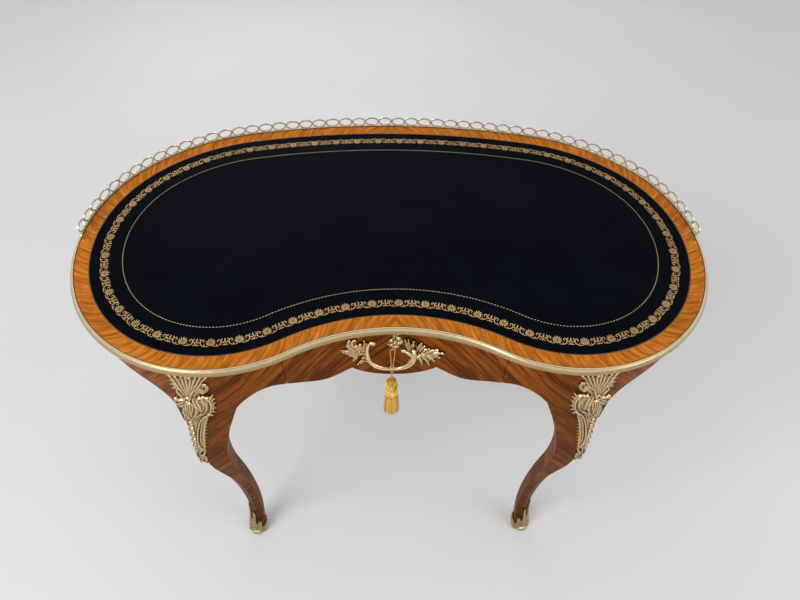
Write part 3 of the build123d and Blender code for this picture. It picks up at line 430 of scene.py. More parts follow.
class Shape:
    """Vertices and faces of one piece, in millimetres, with a number kept on each vertex."""

    def __init__(self):
        self.points = []
        self.faces = []
        self.marks = []
        self.corners = []

    def point(self, place, mark=0.5):
        self.points.append(tuple(place))
        self.marks.append(mark)
        return len(self.points) - 1

    def face(self, *corners, uv=None):
        self.faces.append(corners)
        self.corners.append(uv or [(0.0, 0.0)] * len(corners))

    def build(self, name, material, body, slot, mark=None, uv=None, smooth=True):
        mesh = bpy.data.meshes.new(name)
        mesh.from_pydata([tuple(MM * c for c in p) for p in self.points], [], self.faces)
        if mark:
            layer = mesh.attributes.new(mark, "FLOAT", "POINT")
            layer.data.foreach_set("value", self.marks)
        if uv:
            layer = mesh.uv_layers.new(name=uv)
            flat = [value for face in self.corners for pair in face for value in pair]
            layer.data.foreach_set("uv", flat)
        mesh.polygons.foreach_set("use_smooth", [smooth] * len(mesh.polygons))
        mesh.materials.append(material)
        mesh.update()
        piece = in_scene(name, mesh)
        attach(piece, body)
        return piece


def turns(count):
    """Angles of evenly spaced places round a circle."""
    return [2 * math.pi * k / count for k in range(count)]


def frames_along(path, closed):
    """Two unit normals at each point of a path, turned as little as can be."""
    count = len(path)
    tangents = []
    for k in range(count):
        after = path[(k + 1) % count] if closed or k + 1 < count else path[k]
        before = path[k - 1] if closed or k > 0 else path[k]
        tangents.append((after - before).normalized())
    side = tangents[0].orthogonal()
    frames = []
    for tangent in tangents:
        side = (side - side.dot(tangent) * tangent).normalized()
        frames.append((side, tangent.cross(side)))
    return frames


def tube(shape, path, radius, sides, closed=False, mark=0.5):
    """Sweep a round section along a path. Radius may be a list."""
    path = [Vector(p) for p in path]
    count = len(path)
    radii = radius if isinstance(radius, list) else [radius] * count
    rings = []
    for spot, reach, (side, other) in zip(path, radii, frames_along(path, closed)):
        rings.append([shape.point(spot + reach * (math.cos(t) * side + math.sin(t) * other),
                                  mark) for t in turns(sides)])
    for k in range(count if closed else count - 1):
        low, high = rings[k], rings[(k + 1) % count]
        for j in range(sides):
            n = (j + 1) % sides
            shape.face(low[j], low[n], high[n], high[j])
    if not closed:
        shape.face(*reversed(rings[0]))
        shape.face(*rings[-1])


def smooth_path(points, steps):
    """Even curve through the given points."""
    points = [Vector(p) for p in points]
    line = []
    for k in range(len(points) - 1):
        a = points[max(k - 1, 0)]
        b, c = points[k], points[k + 1]
        d = points[min(k + 2, len(points) - 1)]
        for j in range(steps):
            t = j / steps
            line.append(0.5 * (2 * b + (c - a) * t + (2 * a - 5 * b + 4 * c - d) * t * t
                               + (3 * b - a - 3 * c + d) * t * t * t))
    line.append(points[-1])
    return line


def spread(values, count):
    """Straight in between values at evenly spaced places."""
    last = len(values) - 1
    out = []
    for k in range(count):
        place = last * k / (count - 1)
        low = min(int(place), last - 1)
        out.append(values[low] + (values[low + 1] - values[low]) * (place - low))
    return out


# Outline of the top, taken at the edge of the leather, in millimetres

LOBE = (294.198, -51.0)
HOLLOW = (0.0, -563.04)
BACK = (0.0, -1066.43)
SHOULDER = (209.914, -83.157)
HOLLOW_ANGLE = math.atan2(LOBE[1] - HOLLOW[1], LOBE[0] - HOLLOW[0])
BACK_ANGLE = math.atan2(SHOULDER[1] - BACK[1], SHOULDER[0] - BACK[0])
UPPER_ANGLE = math.radians(47.8)
LOWER_ANGLE = math.radians(-27.6)
ARCS = (
    (BACK, 1344.43, math.pi / 2, BACK_ANGLE, 1),
    (SHOULDER, 339.0, BACK_ANGLE, UPPER_ANGLE, 1),
    ((256.8, -31.449), 269.2, UPPER_ANGLE, LOWER_ANGLE, 1),
    (LOBE, 227.0, LOWER_ANGLE, HOLLOW_ANGLE - math.pi, 1),
    (HOLLOW, 363.54, HOLLOW_ANGLE, math.pi / 2, -1),
)
WOOD_EDGE = 26.0
STRINGING = 1.5
TOP = PER_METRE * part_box("top_crossbanding")[1][2]
VENEER_FOOT = PER_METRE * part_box("top_crossbanding")[0][2]
LEATHER_TOP = PER_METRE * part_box("leather_surface")[1][2]
STATION_STEP = 4.0


def half_stations():
    """Places on the leather edge with the way out, from the front middle round to the back."""
    places = []
    for centre, radius, start, end, side in ARCS:
        count = math.ceil(radius * abs(end - start) / STATION_STEP)
        for k in range(count):
            angle = start + (end - start) * k / count
            ray = Vector((math.cos(angle), math.sin(angle)))
            places.append((Vector(centre) + radius * ray, side * ray))
    last = Vector((0.0, HOLLOW[1] + ARCS[-1][1]))
    places.append((last, Vector((0.0, -1.0))))
    places.reverse()
    return places


HALF = half_stations()
LOOP = HALF + [(Vector((-p.x, p.y)), Vector((-n.x, n.y))) for p, n in HALF[-2:0:-1]]


def run_at(offset):
    """Distance along the loop at each station, taken at an offset, from the front middle."""
    total = 0.0
    runs = [0.0]
    places = [p + offset * n for p, n in LOOP]
    for k in range(len(places)):
        total += (places[(k + 1) % len(places)] - places[k]).length
        runs.append(total)
    return runs


class Bender:
    """Bends flat work round the outline: along the line at an offset, out, and up."""

    def __init__(self, offset):
        self.offset = offset
        self.runs = run_at(offset)
        self.length = self.runs[-1]

    def place(self, along, out, height):
        along = along % self.length
        low = min(bisect.bisect_right(self.runs, along), len(LOOP)) - 1
        share = (along - self.runs[low]) / (self.runs[low + 1] - self.runs[low])
        p0, n0 = LOOP[low]
        p1, n1 = LOOP[(low + 1) % len(LOOP)]
        p = p0 + share * (p1 - p0)
        n = (n0 + share * (n1 - n0)).normalized()
        spot = p + (self.offset + out) * n
        return (spot.x, spot.y, height)


BAND_PROFILE = ((STRINGING, VENEER_FOOT), (STRINGING, TOP), (WOOD_EDGE - STRINGING, TOP),
                (WOOD_EDGE - STRINGING, VENEER_FOOT))


def crossbanding():
    """Veneer swept right round the top, with a map of the way round and the way across."""
    shape = Shape()
    runs = run_at(WOOD_EDGE / 2)
    half = runs[-1] / 2
    across = [MM * (o + 0.3 * (TOP - z)) for o, z in BAND_PROFILE]
    grid = [[shape.point((p.x + o * n.x, p.y + o * n.y, z)) for o, z in BAND_PROFILE]
            for p, n in LOOP]
    for k, low in enumerate(grid):
        high = grid[(k + 1) % len(grid)]
        back = 2 * half if runs[k] >= half - 1 else 0.0
        start, end = MM * (runs[k] - back), MM * (runs[k + 1] - back)
        for j in range(len(BAND_PROFILE)):
            shape.face(low[j - 1], low[j], high[j], high[j - 1],
                       uv=[(start, across[j - 1]), (start, across[j]),
                           (end, across[j]), (end, across[j - 1])])
    return shape.build("crossbanding_veneer", GLAZED["kingwood_banding"], "table",
                       "kingwood_banding", uv="band", smooth=False)


banding = crossbanding()
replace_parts(banding, "top_crossbanding")


# Gilt tooling on the leather

TOOL_HEIGHT = 0.14
TOOL_DEPTH = 0.05
SCROLL_LIFT = 0.01
BAND_MARGIN = 16.2
BAND_WIDTH = 16.4
ROPE_OFFSET = -(BAND_MARGIN + BAND_WIDTH + 21.0)
ROPE_WIDTH = 1.3
REPEAT_AIM = 43.6
PETALS = (8.6, 8.2, 7.4, 6.4, 5.2, 4.0)
PETAL_TURN = 28
PETAL_WIDTH = 1.75
PETAL_ROOT = 1.5
PALMETTE_HEART = 6.2
PATTERN_SHIFT = 6.0
ROPE_PITCH = 5.3
ROPE_BEAD = ((-0.34, -0.9), (-0.14, -1.0), (0.24, 0.1), (0.34, 0.9), (0.14, 1.0), (-0.24, -0.1))
SCROLL = ((3.4, 1.0), (8.0, 0.6), (13.0, 2.2), (15.8, 6.4), (14.8, 11.2), (11.6, 12.6),
          (10.2, 9.8), (12.0, 8.0))
SCROLL_WIDTHS = (0.8, 1.0, 1.4, 1.3, 1.1, 0.9)
SCROLL_LEAVES = ((15.4, 10.0, 28, 5.2, 1.6), (9.0, 1.0, 8, 4.0, 1.3))
BUD_LEAVES = ((0.9, 4.6, 40, 6.4, 1.7), (0.6, 3.4, 112, 4.8, 1.4))


def leaf(x, y, angle, length, width, steps=5):
    """Closed leaf outline from a foot at x, y, pointing along the angle in degrees."""
    angle = math.radians(angle)
    away = Vector((math.cos(angle), math.sin(angle)))
    across = Vector((-away.y, away.x))
    right, left = [], []
    for k in range(1, steps):
        t = k / steps
        half = 0.5 * width * math.sin(math.pi * t ** 1.35)
        spot = Vector((x, y)) + t * length * away
        right.append(spot - half * across)
        left.append(spot + half * across)
    tip = Vector((x, y)) + length * away
    return [Vector((x, y)), *right, tip, *reversed(left)]


def ribbon(points, widths):
    """Quads of a band drawn along a smooth line."""
    line = smooth_path([(x, y, 0.0) for x, y in points], 3)
    edges = []
    for k, (spot, wide) in enumerate(zip(line, spread(widths, len(line)))):
        ahead = line[min(k + 1, len(line) - 1)] - line[max(k - 1, 0)]
        across = 0.5 * wide * Vector((-ahead.y, ahead.x)).normalized()
        edges.append((spot.xy - across, spot.xy + across))
    return [(right, next_right, next_left, left)
            for (right, left), (next_right, next_left) in zip(edges, edges[1:])]


def disc(x, y, radius, sides=8):
    return [Vector((x + radius * math.cos(t), y + radius * math.sin(t))) for t in turns(sides)]


def tool_pattern(pitch):
    """Outlines of one repeat: a palmette, and a bud between two scrolls."""
    base = -0.5 * BAND_WIDTH
    half = pitch / 2
    outlines, quads = [], []
    for k in range(-5, 6):
        angle = 90 + PETAL_TURN * k
        turn = math.radians(angle)
        x, y = PETAL_ROOT * math.cos(turn), PETAL_ROOT * math.sin(turn)
        outlines.append(leaf(x, base + PALMETTE_HEART + y, angle, PETALS[abs(k)], PETAL_WIDTH))
    outlines.append(disc(0.0, base + 6.0, 1.1, 10))
    outlines.append(leaf(0.0, base + 5.0, 270, 4.2, 1.6))
    for side in (-1, 1):
        quads += ribbon([(side * x, base + y) for x, y in SCROLL], SCROLL_WIDTHS)
        for middle, leaves in ((0.0, SCROLL_LEAVES), (half, BUD_LEAVES)):
            for x, y, tilt, length, width in leaves:
                outlines.append(leaf(middle + side * x, base + y, 90 - side * tilt, length,
                                     width))
    outlines.append(leaf(half, base + 4.0, 90, 11.4, 2.1))
    outlines.append(disc(half, base + 2.6, 1.4))
    return outlines, quads


def lay_outline(shape, bender, outline, shift, high):
    """Raise one closed outline a little above the leather, with sides down to it."""
    low_ring, top_ring = [], []
    for spot in outline:
        along, out = shift + spot.x, -spot.y
        low_ring.append(shape.point(bender.place(along, out, LEATHER_TOP - TOOL_DEPTH)))
        top_ring.append(shape.point(bender.place(along, out, high)))
    shape.face(*reversed(top_ring))
    for k in range(len(outline)):
        shape.face(low_ring[k], low_ring[k - 1], top_ring[k - 1], top_ring[k])


def tool_border():
    shape = Shape()
    bender = Bender(-(BAND_MARGIN + 0.5 * BAND_WIDTH))
    count = round(bender.length / REPEAT_AIM)
    pitch = bender.length / count
    outlines, quads = tool_pattern(pitch)
    high = LEATHER_TOP + TOOL_HEIGHT
    for k in range(count):
        shift = PATTERN_SHIFT + k * pitch
        for outline in outlines:
            lay_outline(shape, bender, outline, shift, high)
        for quad in quads:
            lay_outline(shape, bender, quad, shift, high + SCROLL_LIFT)
    shape.build("tooled_border", TOOLING, "table", "gilt_brass", smooth=False)


def tool_rope():
    shape = Shape()
    bender = Bender(ROPE_OFFSET)
    count = round(bender.length / ROPE_PITCH)
    pitch = bender.length / count
    bead = [Vector((pitch * x, ROPE_WIDTH / 2 * y)) for x, y in ROPE_BEAD]
    for k in range(count):
        lay_outline(shape, bender, bead, k * pitch, LEATHER_TOP + TOOL_HEIGHT)
    shape.build("tooled_rope_line", ROPE_GILDING, "table", "gilt_brass", smooth=False)


tool_border()
tool_rope()


# Tassel cord and tassel

CORD_X = -4.5
CORD_Y = -251.96
CORD_ROUTE = [(x, CORD_Y, z) for x, z in (
    (-5.75, 646.3), (-5.75, 689.0), (-8.23, 732.8), (-8.7, 741.2), (-0.3, 741.2),
    (-0.77, 732.8), (-3.25, 689.0), (-3.25, 646.3))]
CORD_DIAMETER = 0.0018


def cord_line():
    curve = bpy.data.curves.new("tassel_cord_line", "CURVE")
    curve.dimensions = "3D"
    spline = curve.splines.new("NURBS")
    spline.points.add(len(CORD_ROUTE) - 1)
    for point, place in zip(spline.points, CORD_ROUTE):
        point.co = (*[MM * c for c in place], 1.0)
    spline.order_u = 3
    spline.use_endpoint_u = True
    spline.resolution_u = 16
    curve.bevel_depth = CORD_DIAMETER / 2
    curve.bevel_resolution = 4
    curve.materials.append(CORD_THREAD)
    piece = in_scene("tassel_cord_line", curve)
    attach(piece, "tassel")
    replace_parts(piece, "tassel_cord")
    return piece


def around(radius, angle, height):
    """Place round the tassel's axis."""
    x, y = radius * math.cos(angle), radius * math.sin(angle)
    return Vector((CORD_X + x, CORD_Y + y, height))


def node_span(name):
    """Foot, head and half width of a node."""
    low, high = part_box(name)
    return PER_METRE * low[2], PER_METRE * high[2], PER_METRE / 2 * (high[0] - low[0])


def of_thread(shape, name):
    return shape.build(name, GLAZED["gold_thread"], "tassel", "gold_thread", mark="strand")


HEAD_FULLNESS = 1.22
HEAD_CORE = ((0.55, 1.0), (0.80, 0.84), (0.86, 0.58), (0.76, 0.32), (0.82, 0.0))
HEAD_LOOPS = ((0.80, 0.74, 9), (0.52, 0.90, 11), (0.20, 0.86, 12))
LOOP_THREAD = 0.85
INSET = 0.9
RUFF_LOOPS = 30
FRINGE_ROWS = ((44, (0.50, 0.66, 0.76), 1.1), (62, (0.62, 0.82, 0.97), 0.95))


def tassel_head():
    """Head covered in looped cord, a ring of loops standing at its top."""
    low, high, wide = node_span("tassel_head")
    wide *= HEAD_FULLNESS
    dice = random.Random(3)
    shape = Shape()
    # The core keeps a low strand mark, so it shows dark between the loops: painted shade.
    rings = [[shape.point(around(share * wide, t, low + level * (high - low)), 0.1)
              for t in turns(20)] for share, level in HEAD_CORE]
    for upper, lower in zip(rings, rings[1:]):
        for j in range(20):
            shape.face(upper[j - 1], lower[j - 1], lower[j], upper[j])
    shape.face(*rings[0])
    shape.face(*reversed(rings[-1]))
    for row, (level, reach, loops) in enumerate(HEAD_LOOPS):
        for k in range(loops):
            middle = 2 * math.pi * (k + 0.5 * (row % 2)) / loops
            size = 3.1 + 0.5 * dice.random()
            path = []
            for turn in turns(14):
                angle = middle + 0.9 * size * math.cos(turn) / wide
                height = low + level * (high - low) + 1.25 * size * math.sin(turn)
                bulge = reach * wide + 1.1 * math.sin(0.5 * turn) ** 2
                path.append(around(min(bulge, wide - INSET), angle,
                                   min(max(height, low + INSET), high - INSET)))
            tube(shape, path, LOOP_THREAD, 6, closed=True, mark=dice.random())
    return of_thread(shape, "tassel_looped_head")


def strand_ring(shape, dice, count, low, high, radii, thick, pale=0.54):
    """Strands that hang from one radius, bulge to the next and end at the last."""
    top, bulge, end = radii
    drop = high - low
    for k in range(count):
        angle = 2 * math.pi * (k + 0.35 * dice.random()) / count
        swing = 0.06 * (dice.random() - 0.5)
        mark = pale * dice.random()
        foot = low + 1.6 * dice.random()
        line = smooth_path([around(top, angle, high),
                            around(bulge, angle + 0.4 * swing, high - 0.22 * drop),
                            around(0.5 * (bulge + end), angle + swing, high - 0.6 * drop),
                            around(end, angle + 1.4 * swing, foot)], 3)
        tube(shape, line, [0.7 * thick] + [thick] * (len(line) - 1), 5, mark=mark)


def tassel_ruff():
    low, high, wide = node_span("tassel_ruff")
    dice = random.Random(5)
    shape = Shape()
    strand_ring(shape, dice, 40, low + 3.0, high, (0.52 * wide, 0.70 * wide, 0.76 * wide), 1.15,
                pale=1.0)
    for k in range(RUFF_LOOPS):
        angle = 2 * math.pi * (k + 0.3 * dice.random()) / RUFF_LOOPS
        size = 0.9 + 0.25 * dice.random()
        path = []
        for t in spread((0.0, 1.0), 10):
            reach = wide * (0.56 + 0.36 * math.sin(math.pi * min(1.0, t * 0.95)))
            height = high - 1.0 - (high - low - 2.4) * size * 0.84 * t
            path.append(around(min(reach, wide - 0.95), angle + 0.05 * math.sin(5 * t),
                               max(height, low + INSET)))
        tube(shape, path, 0.92, 6, mark=0.6 + 0.5 * dice.random())
    return of_thread(shape, "tassel_looped_ruff")


def tassel_fringe():
    low, high, wide = node_span("tassel_skirt")
    dice = random.Random(7)
    shape = Shape()
    for count, radii, thick in FRINGE_ROWS:
        strand_ring(shape, dice, count, low, high, [r * wide for r in radii], thick)
    return of_thread(shape, "tassel_fringe")


def tassel_binding():
    """Turns of thread where the two cords join above the head."""
    low, high, wide = node_span("tassel_knot")
    shape = Shape()
    for inset, height, count, thick, mark in (
            (0.75, low + 0.5, 24, 0.5, 0.4),
            (1.05, low + 0.5 + max(0.1, high - low - 1.0), 24, 0.5, 0.7),
            (1.6, 0.5 * (low + high), 20, 0.6, 0.7)):
        path = [around(wide - inset, t, height) for t in turns(count)]
        tube(shape, path, thick, 6, closed=True, mark=mark)
    return of_thread(shape, "tassel_binding")


cord_piece = cord_line()
for maker, node in ((tassel_head, "tassel_head"), (tassel_ruff, "tassel_ruff"),
                    (tassel_binding, "tassel_knot")):
    piece = maker()
    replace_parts(piece, node)
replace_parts(tassel_fringe(), "tassel_skirt")


# Relief work: strokes raised on a grid, then laid on the surface that carries them

OUTSIDE = -2.2
EDGE = 1.3
CREASE_DEPTH = 0.42
CREASE_SHARE = 0.22
RIM_SHARE = 0.76
CHANNEL_FLOOR = 0.30
FLUTE_DIP = 0.28
SHADING = 0.42


def fill_line(points, steps):
    line = smooth_path([(a, b, 0.0) for a, b in points], steps)
    return np.array([(p.x, p.y) for p in line])


def domed(share):
    """Height of a round section where the square of its half width is used up by a share."""
    return np.sqrt(np.clip(1.0 - share, 0.0, 1.0))


def evenly(values, places):
    """Values that stand at even distances from 0 to 1, or a single one, read at places."""
    values = np.atleast_1d(np.array(values, float))
    return np.interp(places, np.linspace(0, 1, len(values)), values)


class Relief:
    """Heights over a flat grid of across and up, in millimetres."""

    def __init__(self, left, right, low, high, pitch):
        self.pitch = pitch
        self.across = np.arange(left, right + pitch, pitch)
        self.up = np.arange(high, low - pitch, -pitch)
        self.a, self.b = np.meshgrid(self.across, self.up)
        self.height = np.full(self.a.shape, OUTSIDE)

    def near(self, line, half):
        """Nearest place on a line for each grid point: share of its half width, run, slot."""
        best = np.full(self.a.shape, 9.0)
        run = np.zeros(self.a.shape)
        slot = np.zeros(self.a.shape)
        total = 0.0
        for k in range(len(line) - 1):
            start, step = line[k], line[k + 1] - line[k]
            length = max(float(np.hypot(*step)), 1e-6)
            reach = max(half[k], half[k + 1]) + self.pitch
            lo = np.minimum(start, line[k + 1]) - reach
            hi = np.maximum(start, line[k + 1]) + reach
            columns = (self.across >= lo[0]) & (self.across <= hi[0])
            rows = (self.up >= lo[1]) & (self.up <= hi[1])
            window = np.ix_(rows, columns)
            a, b = self.a[window] - start[0], self.b[window] - start[1]
            share = np.clip((a * step[0] + b * step[1]) / length ** 2, 0.0, 1.0)
            gap = np.hypot(a - share * step[0], b - share * step[1])
            q = gap / (half[k] + share * (half[k + 1] - half[k]) + 1e-6)
            closer = q < best[window]
            for store, value in ((best, q), (run, total + share * length),
                                 (slot, (k + share) / (len(line) - 1))):
                part = store[window]
                part[closer] = value[closer]
                store[window] = part
            total += length
        return best, run, slot

    def lift(self, inside, height):
        higher = inside & (height > self.height)
        self.height[higher] = height[higher]

    def stroke(self, points, widths, heights, kind="ridge", pitch=3.0, steps=5):
        """Raise a stroke. Widths and heights run evenly from its start to its end."""
        line = fill_line(points, steps) if len(points) > 2 else np.array(points, float)
        half = 0.5 * evenly(widths, np.linspace(0, 1, len(line)))
        q, run, slot = self.near(line, half)
        inside = q < 1.0
        dome = domed(q * q)
        if kind == "leaf":
            dome = dome - CREASE_DEPTH * np.exp(-((q / CREASE_SHARE) ** 2)) * dome
        elif kind == "channel":
            slope = CHANNEL_FLOOR + (1.0 - CHANNEL_FLOOR) * (q / RIM_SHARE) ** 2
            rim = domed(((q - RIM_SHARE) / (1.0 - RIM_SHARE)) ** 2)
            dome = np.where(q < RIM_SHARE, slope, rim)
        elif kind == "flute":
            dome = dome * (1.0 - FLUTE_DIP + FLUTE_DIP * np.cos(2 * math.pi * run / pitch))
        elif kind == "bead":
            phase = 2 * np.mod(run / pitch, 1.0) - 1.0
            inside = inside & (q * q + phase * phase < 1.0)
            dome = domed(q * q + phase * phase)
        self.lift(inside, EDGE + evenly(heights, slot) * dome)

    def boss(self, spot, step, width, height):
        """Knob, drawn as a very short stroke."""
        spot = np.array(spot, float)
        self.stroke([spot, spot + step], width, height)

    def plate(self, points, height):
        """Ground inside a closed outline."""
        line = np.array(points, float)
        inside = np.zeros(self.a.shape, bool)
        for (x0, y0), (x1, y1) in zip(line, np.roll(line, -1, axis=0)):
            crosses = (y0 > self.b) != (y1 > self.b)
            if y1 != y0:
                inside ^= crosses & (self.a < (x1 - x0) * (self.b - y0) / (y1 - y0) + x0)
        self.lift(inside, np.full(self.a.shape, height))

    def frond(self, points, reach, count, height, lean, width, spine, start):
        """Leaf with leaflets that lean forward off a raised spine."""
        line = fill_line(points, 8)
        for k in range(count):
            t = start + (1.0 - start) * (k + 0.5) / count
            slot = min(int(t * (len(line) - 1)), len(line) - 2)
            ahead = math.atan2(*(line[slot + 1] - line[slot])[::-1])
            size = reach * math.sin(math.pi * (0.16 + 0.78 * t)) ** 0.7
            for side in (-1, 1):
                turn = ahead + side * math.radians(lean)
                bend = ahead + side * math.radians(0.45 * lean)
                root = line[slot]
                middle = root + 0.55 * size * np.array((math.cos(turn), math.sin(turn)))
                tip = middle + 0.5 * size * np.array((math.cos(bend), math.sin(bend)))
                self.stroke([root, middle, tip], (0.8 * width, width, 0.35 * width),
                            (0.8 * height, height, 0.35 * height), "leaf", steps=4)
        self.stroke(points, (spine, 0.8 * spine, 0.45 * spine), (1.15 * height, 0.5 * height))

    def settled(self):
        """Heights softened a little, and a map of how far each place is raised or sunk, used
        for painted shade in the hollows.
        """
        soft = blurred(self.height, 1)
        covered = self.height > OUTSIDE + 0.5
        base = np.where(covered, self.height, EDGE)
        raised = soft - blurred(base, 4)
        return soft, covered, np.clip(0.5 + SHADING * raised, 0.0, 1.0)


def blurred(grid, passes):
    out = grid.copy()
    for _ in range(passes):
        padded = np.pad(out, 1, mode="edge")
        out = (4 * out + 2 * (padded[:-2, 1:-1] + padded[2:, 1:-1] + padded[1:-1, :-2]
               + padded[1:-1, 2:]) + padded[:-2, :-2] + padded[:-2, 2:] + padded[2:, :-2]
               + padded[2:, 2:]) / 16.0
    return out


def lay_relief(relief, seat, name, body):
    """Mesh of a relief. Seat turns across, up and height into a point, all as arrays."""
    soft, covered, hollow = relief.settled()
    wide = covered.copy()
    for shift in (-1, 1):
        wide |= np.roll(covered, shift, 0) | np.roll(covered, shift, 1)
    places = seat(relief.a, relief.b, soft)
    shape = Shape()
    number = np.full(soft.shape, -1)
    rows, columns = soft.shape
    for i, j in zip(*np.nonzero(wide)):
        # Each vertex keeps the hollow map, which the metal turns into painted shade.
        number[i, j] = shape.point(places[i, j], float(hollow[i, j]))
    for i in range(rows - 1):
        for j in range(columns - 1):
            quad = (number[i, j], number[i + 1, j], number[i + 1, j + 1], number[i, j + 1])
            if min(quad) >= 0:
                shape.face(*[int(q) for q in quad])
    return shape.build(name, ORMOLU, body, "gilt_brass", mark="hollow")


def faces_outward(piece, outward):
    """Turn the faces of a piece over if they look the wrong way."""
    total = Vector((0.0, 0.0, 0.0))
    for polygon in piece.data.polygons:
        total += polygon.area * polygon.normal
    if total.dot(outward) < 0:
        piece.data.flip_normals()


# Legs: where their skin lies, by distance inward and height

LEG_SITES = {
    "front": (LOBE, 246.0, math.radians(-82.0)),
    "back": (SHOULDER, 358.0, math.radians(55.0)),
}
LEGS = [(site, hand) for site in ("front", "back") for hand in ("left", "right")]
LOOK_FROM = 60.0
LOOK_FAR = 110.0


def tree_of(*names):
    points, faces = [], []
    for name in names:
        mesh = frame["nodes"][name].data
        first = len(points)
        points += [PER_METRE * v.co for v in mesh.vertices]
        faces += [[first + v for v in p.vertices] for p in mesh.polygons]
    return BVHTree.FromPolygons(points, faces)


def gaps_along(tree, starts, ways, far, blank):
    """Distance that each ray goes to the first face, or blank where it meets none."""
    gaps = np.full(starts.shape[:-1], blank)
    for place in np.ndindex(gaps.shape):
        gap = tree.ray_cast(Vector(starts[place]), Vector(ways[place]), far)[3]
        if gap is not None:
            gaps[place] = gap
    return gaps


def leg_axes(site, hand):
    """Foot of a leg's corner line, and the ways forward and inward from it."""
    side = 1 if hand == "right" else -1
    centre, reach, angle = LEG_SITES[site]
    forward = Vector((side * math.cos(angle), math.sin(angle), 0.0))
    inward = Vector((side * math.sin(angle), -math.cos(angle), 0.0))
    origin = Vector((side * centre[0], centre[1], 0.0)) + reach * forward
    return origin, forward, inward


def leg_skin(site, hand, across, up):
    """How far out the leg's skin lies at each place of a grid."""
    apron = "apron_back" if site == "back" else f"apron_front_{hand}"
    tree = tree_of(f"leg_{site}_{hand}", f"apron_side_{hand}", apron)
    origin, forward, inward = leg_axes(site, hand)
    starts = np.array(origin + LOOK_FROM * forward) + across[..., None] * np.array(inward)
    starts[..., 2] = up
    ways = np.broadcast_to(-np.array(forward), starts.shape)
    out = LOOK_FROM - gaps_along(tree, starts, ways, LOOK_FAR, np.nan)
    for k, row in enumerate(out):
        good = ~np.isnan(row)
        if good.any():
            out[k] = np.interp(across[k], across[k][good], row[good])
        else:
            out[k] = out[k - 1]
    return blurred(out, 2)


def leg_seat(site, hand, skin):
    """Lays the relief on a leg, out from its skin."""
    origin, forward, inward = leg_axes(site, hand)

    def seat(across, up, height):
        out = skin + height
        x = origin.x + out * forward.x + across * inward.x
        y = origin.y + out * forward.y + across * inward.y
        return np.stack((x, y, up), axis=-1)
    return seat


# Knee mounts, drawn on the photograph in tenths of a pixel from the corner of a crop

CROP = (155.0, 365.0)
MOUNT_LEFT = -47.0
MOUNT_RIGHT = 40.0
MOUNT_LOW = 414.0
MOUNT_HIGH = 748.0
MOUNT_PITCH = 0.9
MOUNT_DRIFT = ((746, 9), (722, 8), (700, 7), (664, 4), (622, -4), (560, -14), (500, -24),
               (450, -30), (424, -32))


class PhotoMap:
    """Finds the place on the front left leg that a pixel of the photograph shows."""

    def __init__(self, relief, skin):
        seat = leg_seat("front", "left", skin)
        places = seat(relief.a, relief.b, 2.5) * MM
        camera = bpy.context.scene.camera.matrix_world.inverted()
        turn = np.array(camera.to_3x3())
        seen = places @ turn.T + np.array(camera.translation)
        self.x = PHOTO_MIDDLE[0] + FOCAL_PIXELS * seen[..., 0] / -seen[..., 2]
        self.y = PHOTO_MIDDLE[1] - FOCAL_PIXELS * seen[..., 1] / -seen[..., 2]
        self.relief = relief

    def find(self, spot):
        x, y = CROP[0] + spot[0] / 10.0, CROP[1] + spot[1] / 10.0
        gap = (self.x - x) ** 2 + (self.y - y) ** 2
        place = np.unravel_index(int(np.argmin(gap)), gap.shape)
        return np.array((self.relief.a[place], self.relief.b[place]))

    def line(self, points):
        return [self.find(point) for point in points]


MOUNT_GROUND = (
    (150, 112), (205, 128), (300, 138), (400, 140), (485, 142), (470, 185), (515, 205),
    (522, 245), (488, 285), (440, 300), (470, 312), (540, 325), (580, 365), (588, 420),
    (560, 490), (515, 520), (508, 600), (508, 700), (505, 800), (505, 880), (500, 930),
    (520, 995), (446, 995), (425, 940), (400, 890), (375, 780), (350, 690), (330, 600),
    (300, 500), (262, 430), (222, 400), (200, 350), (215, 300), (225, 255), (185, 200),
    (165, 150),
)

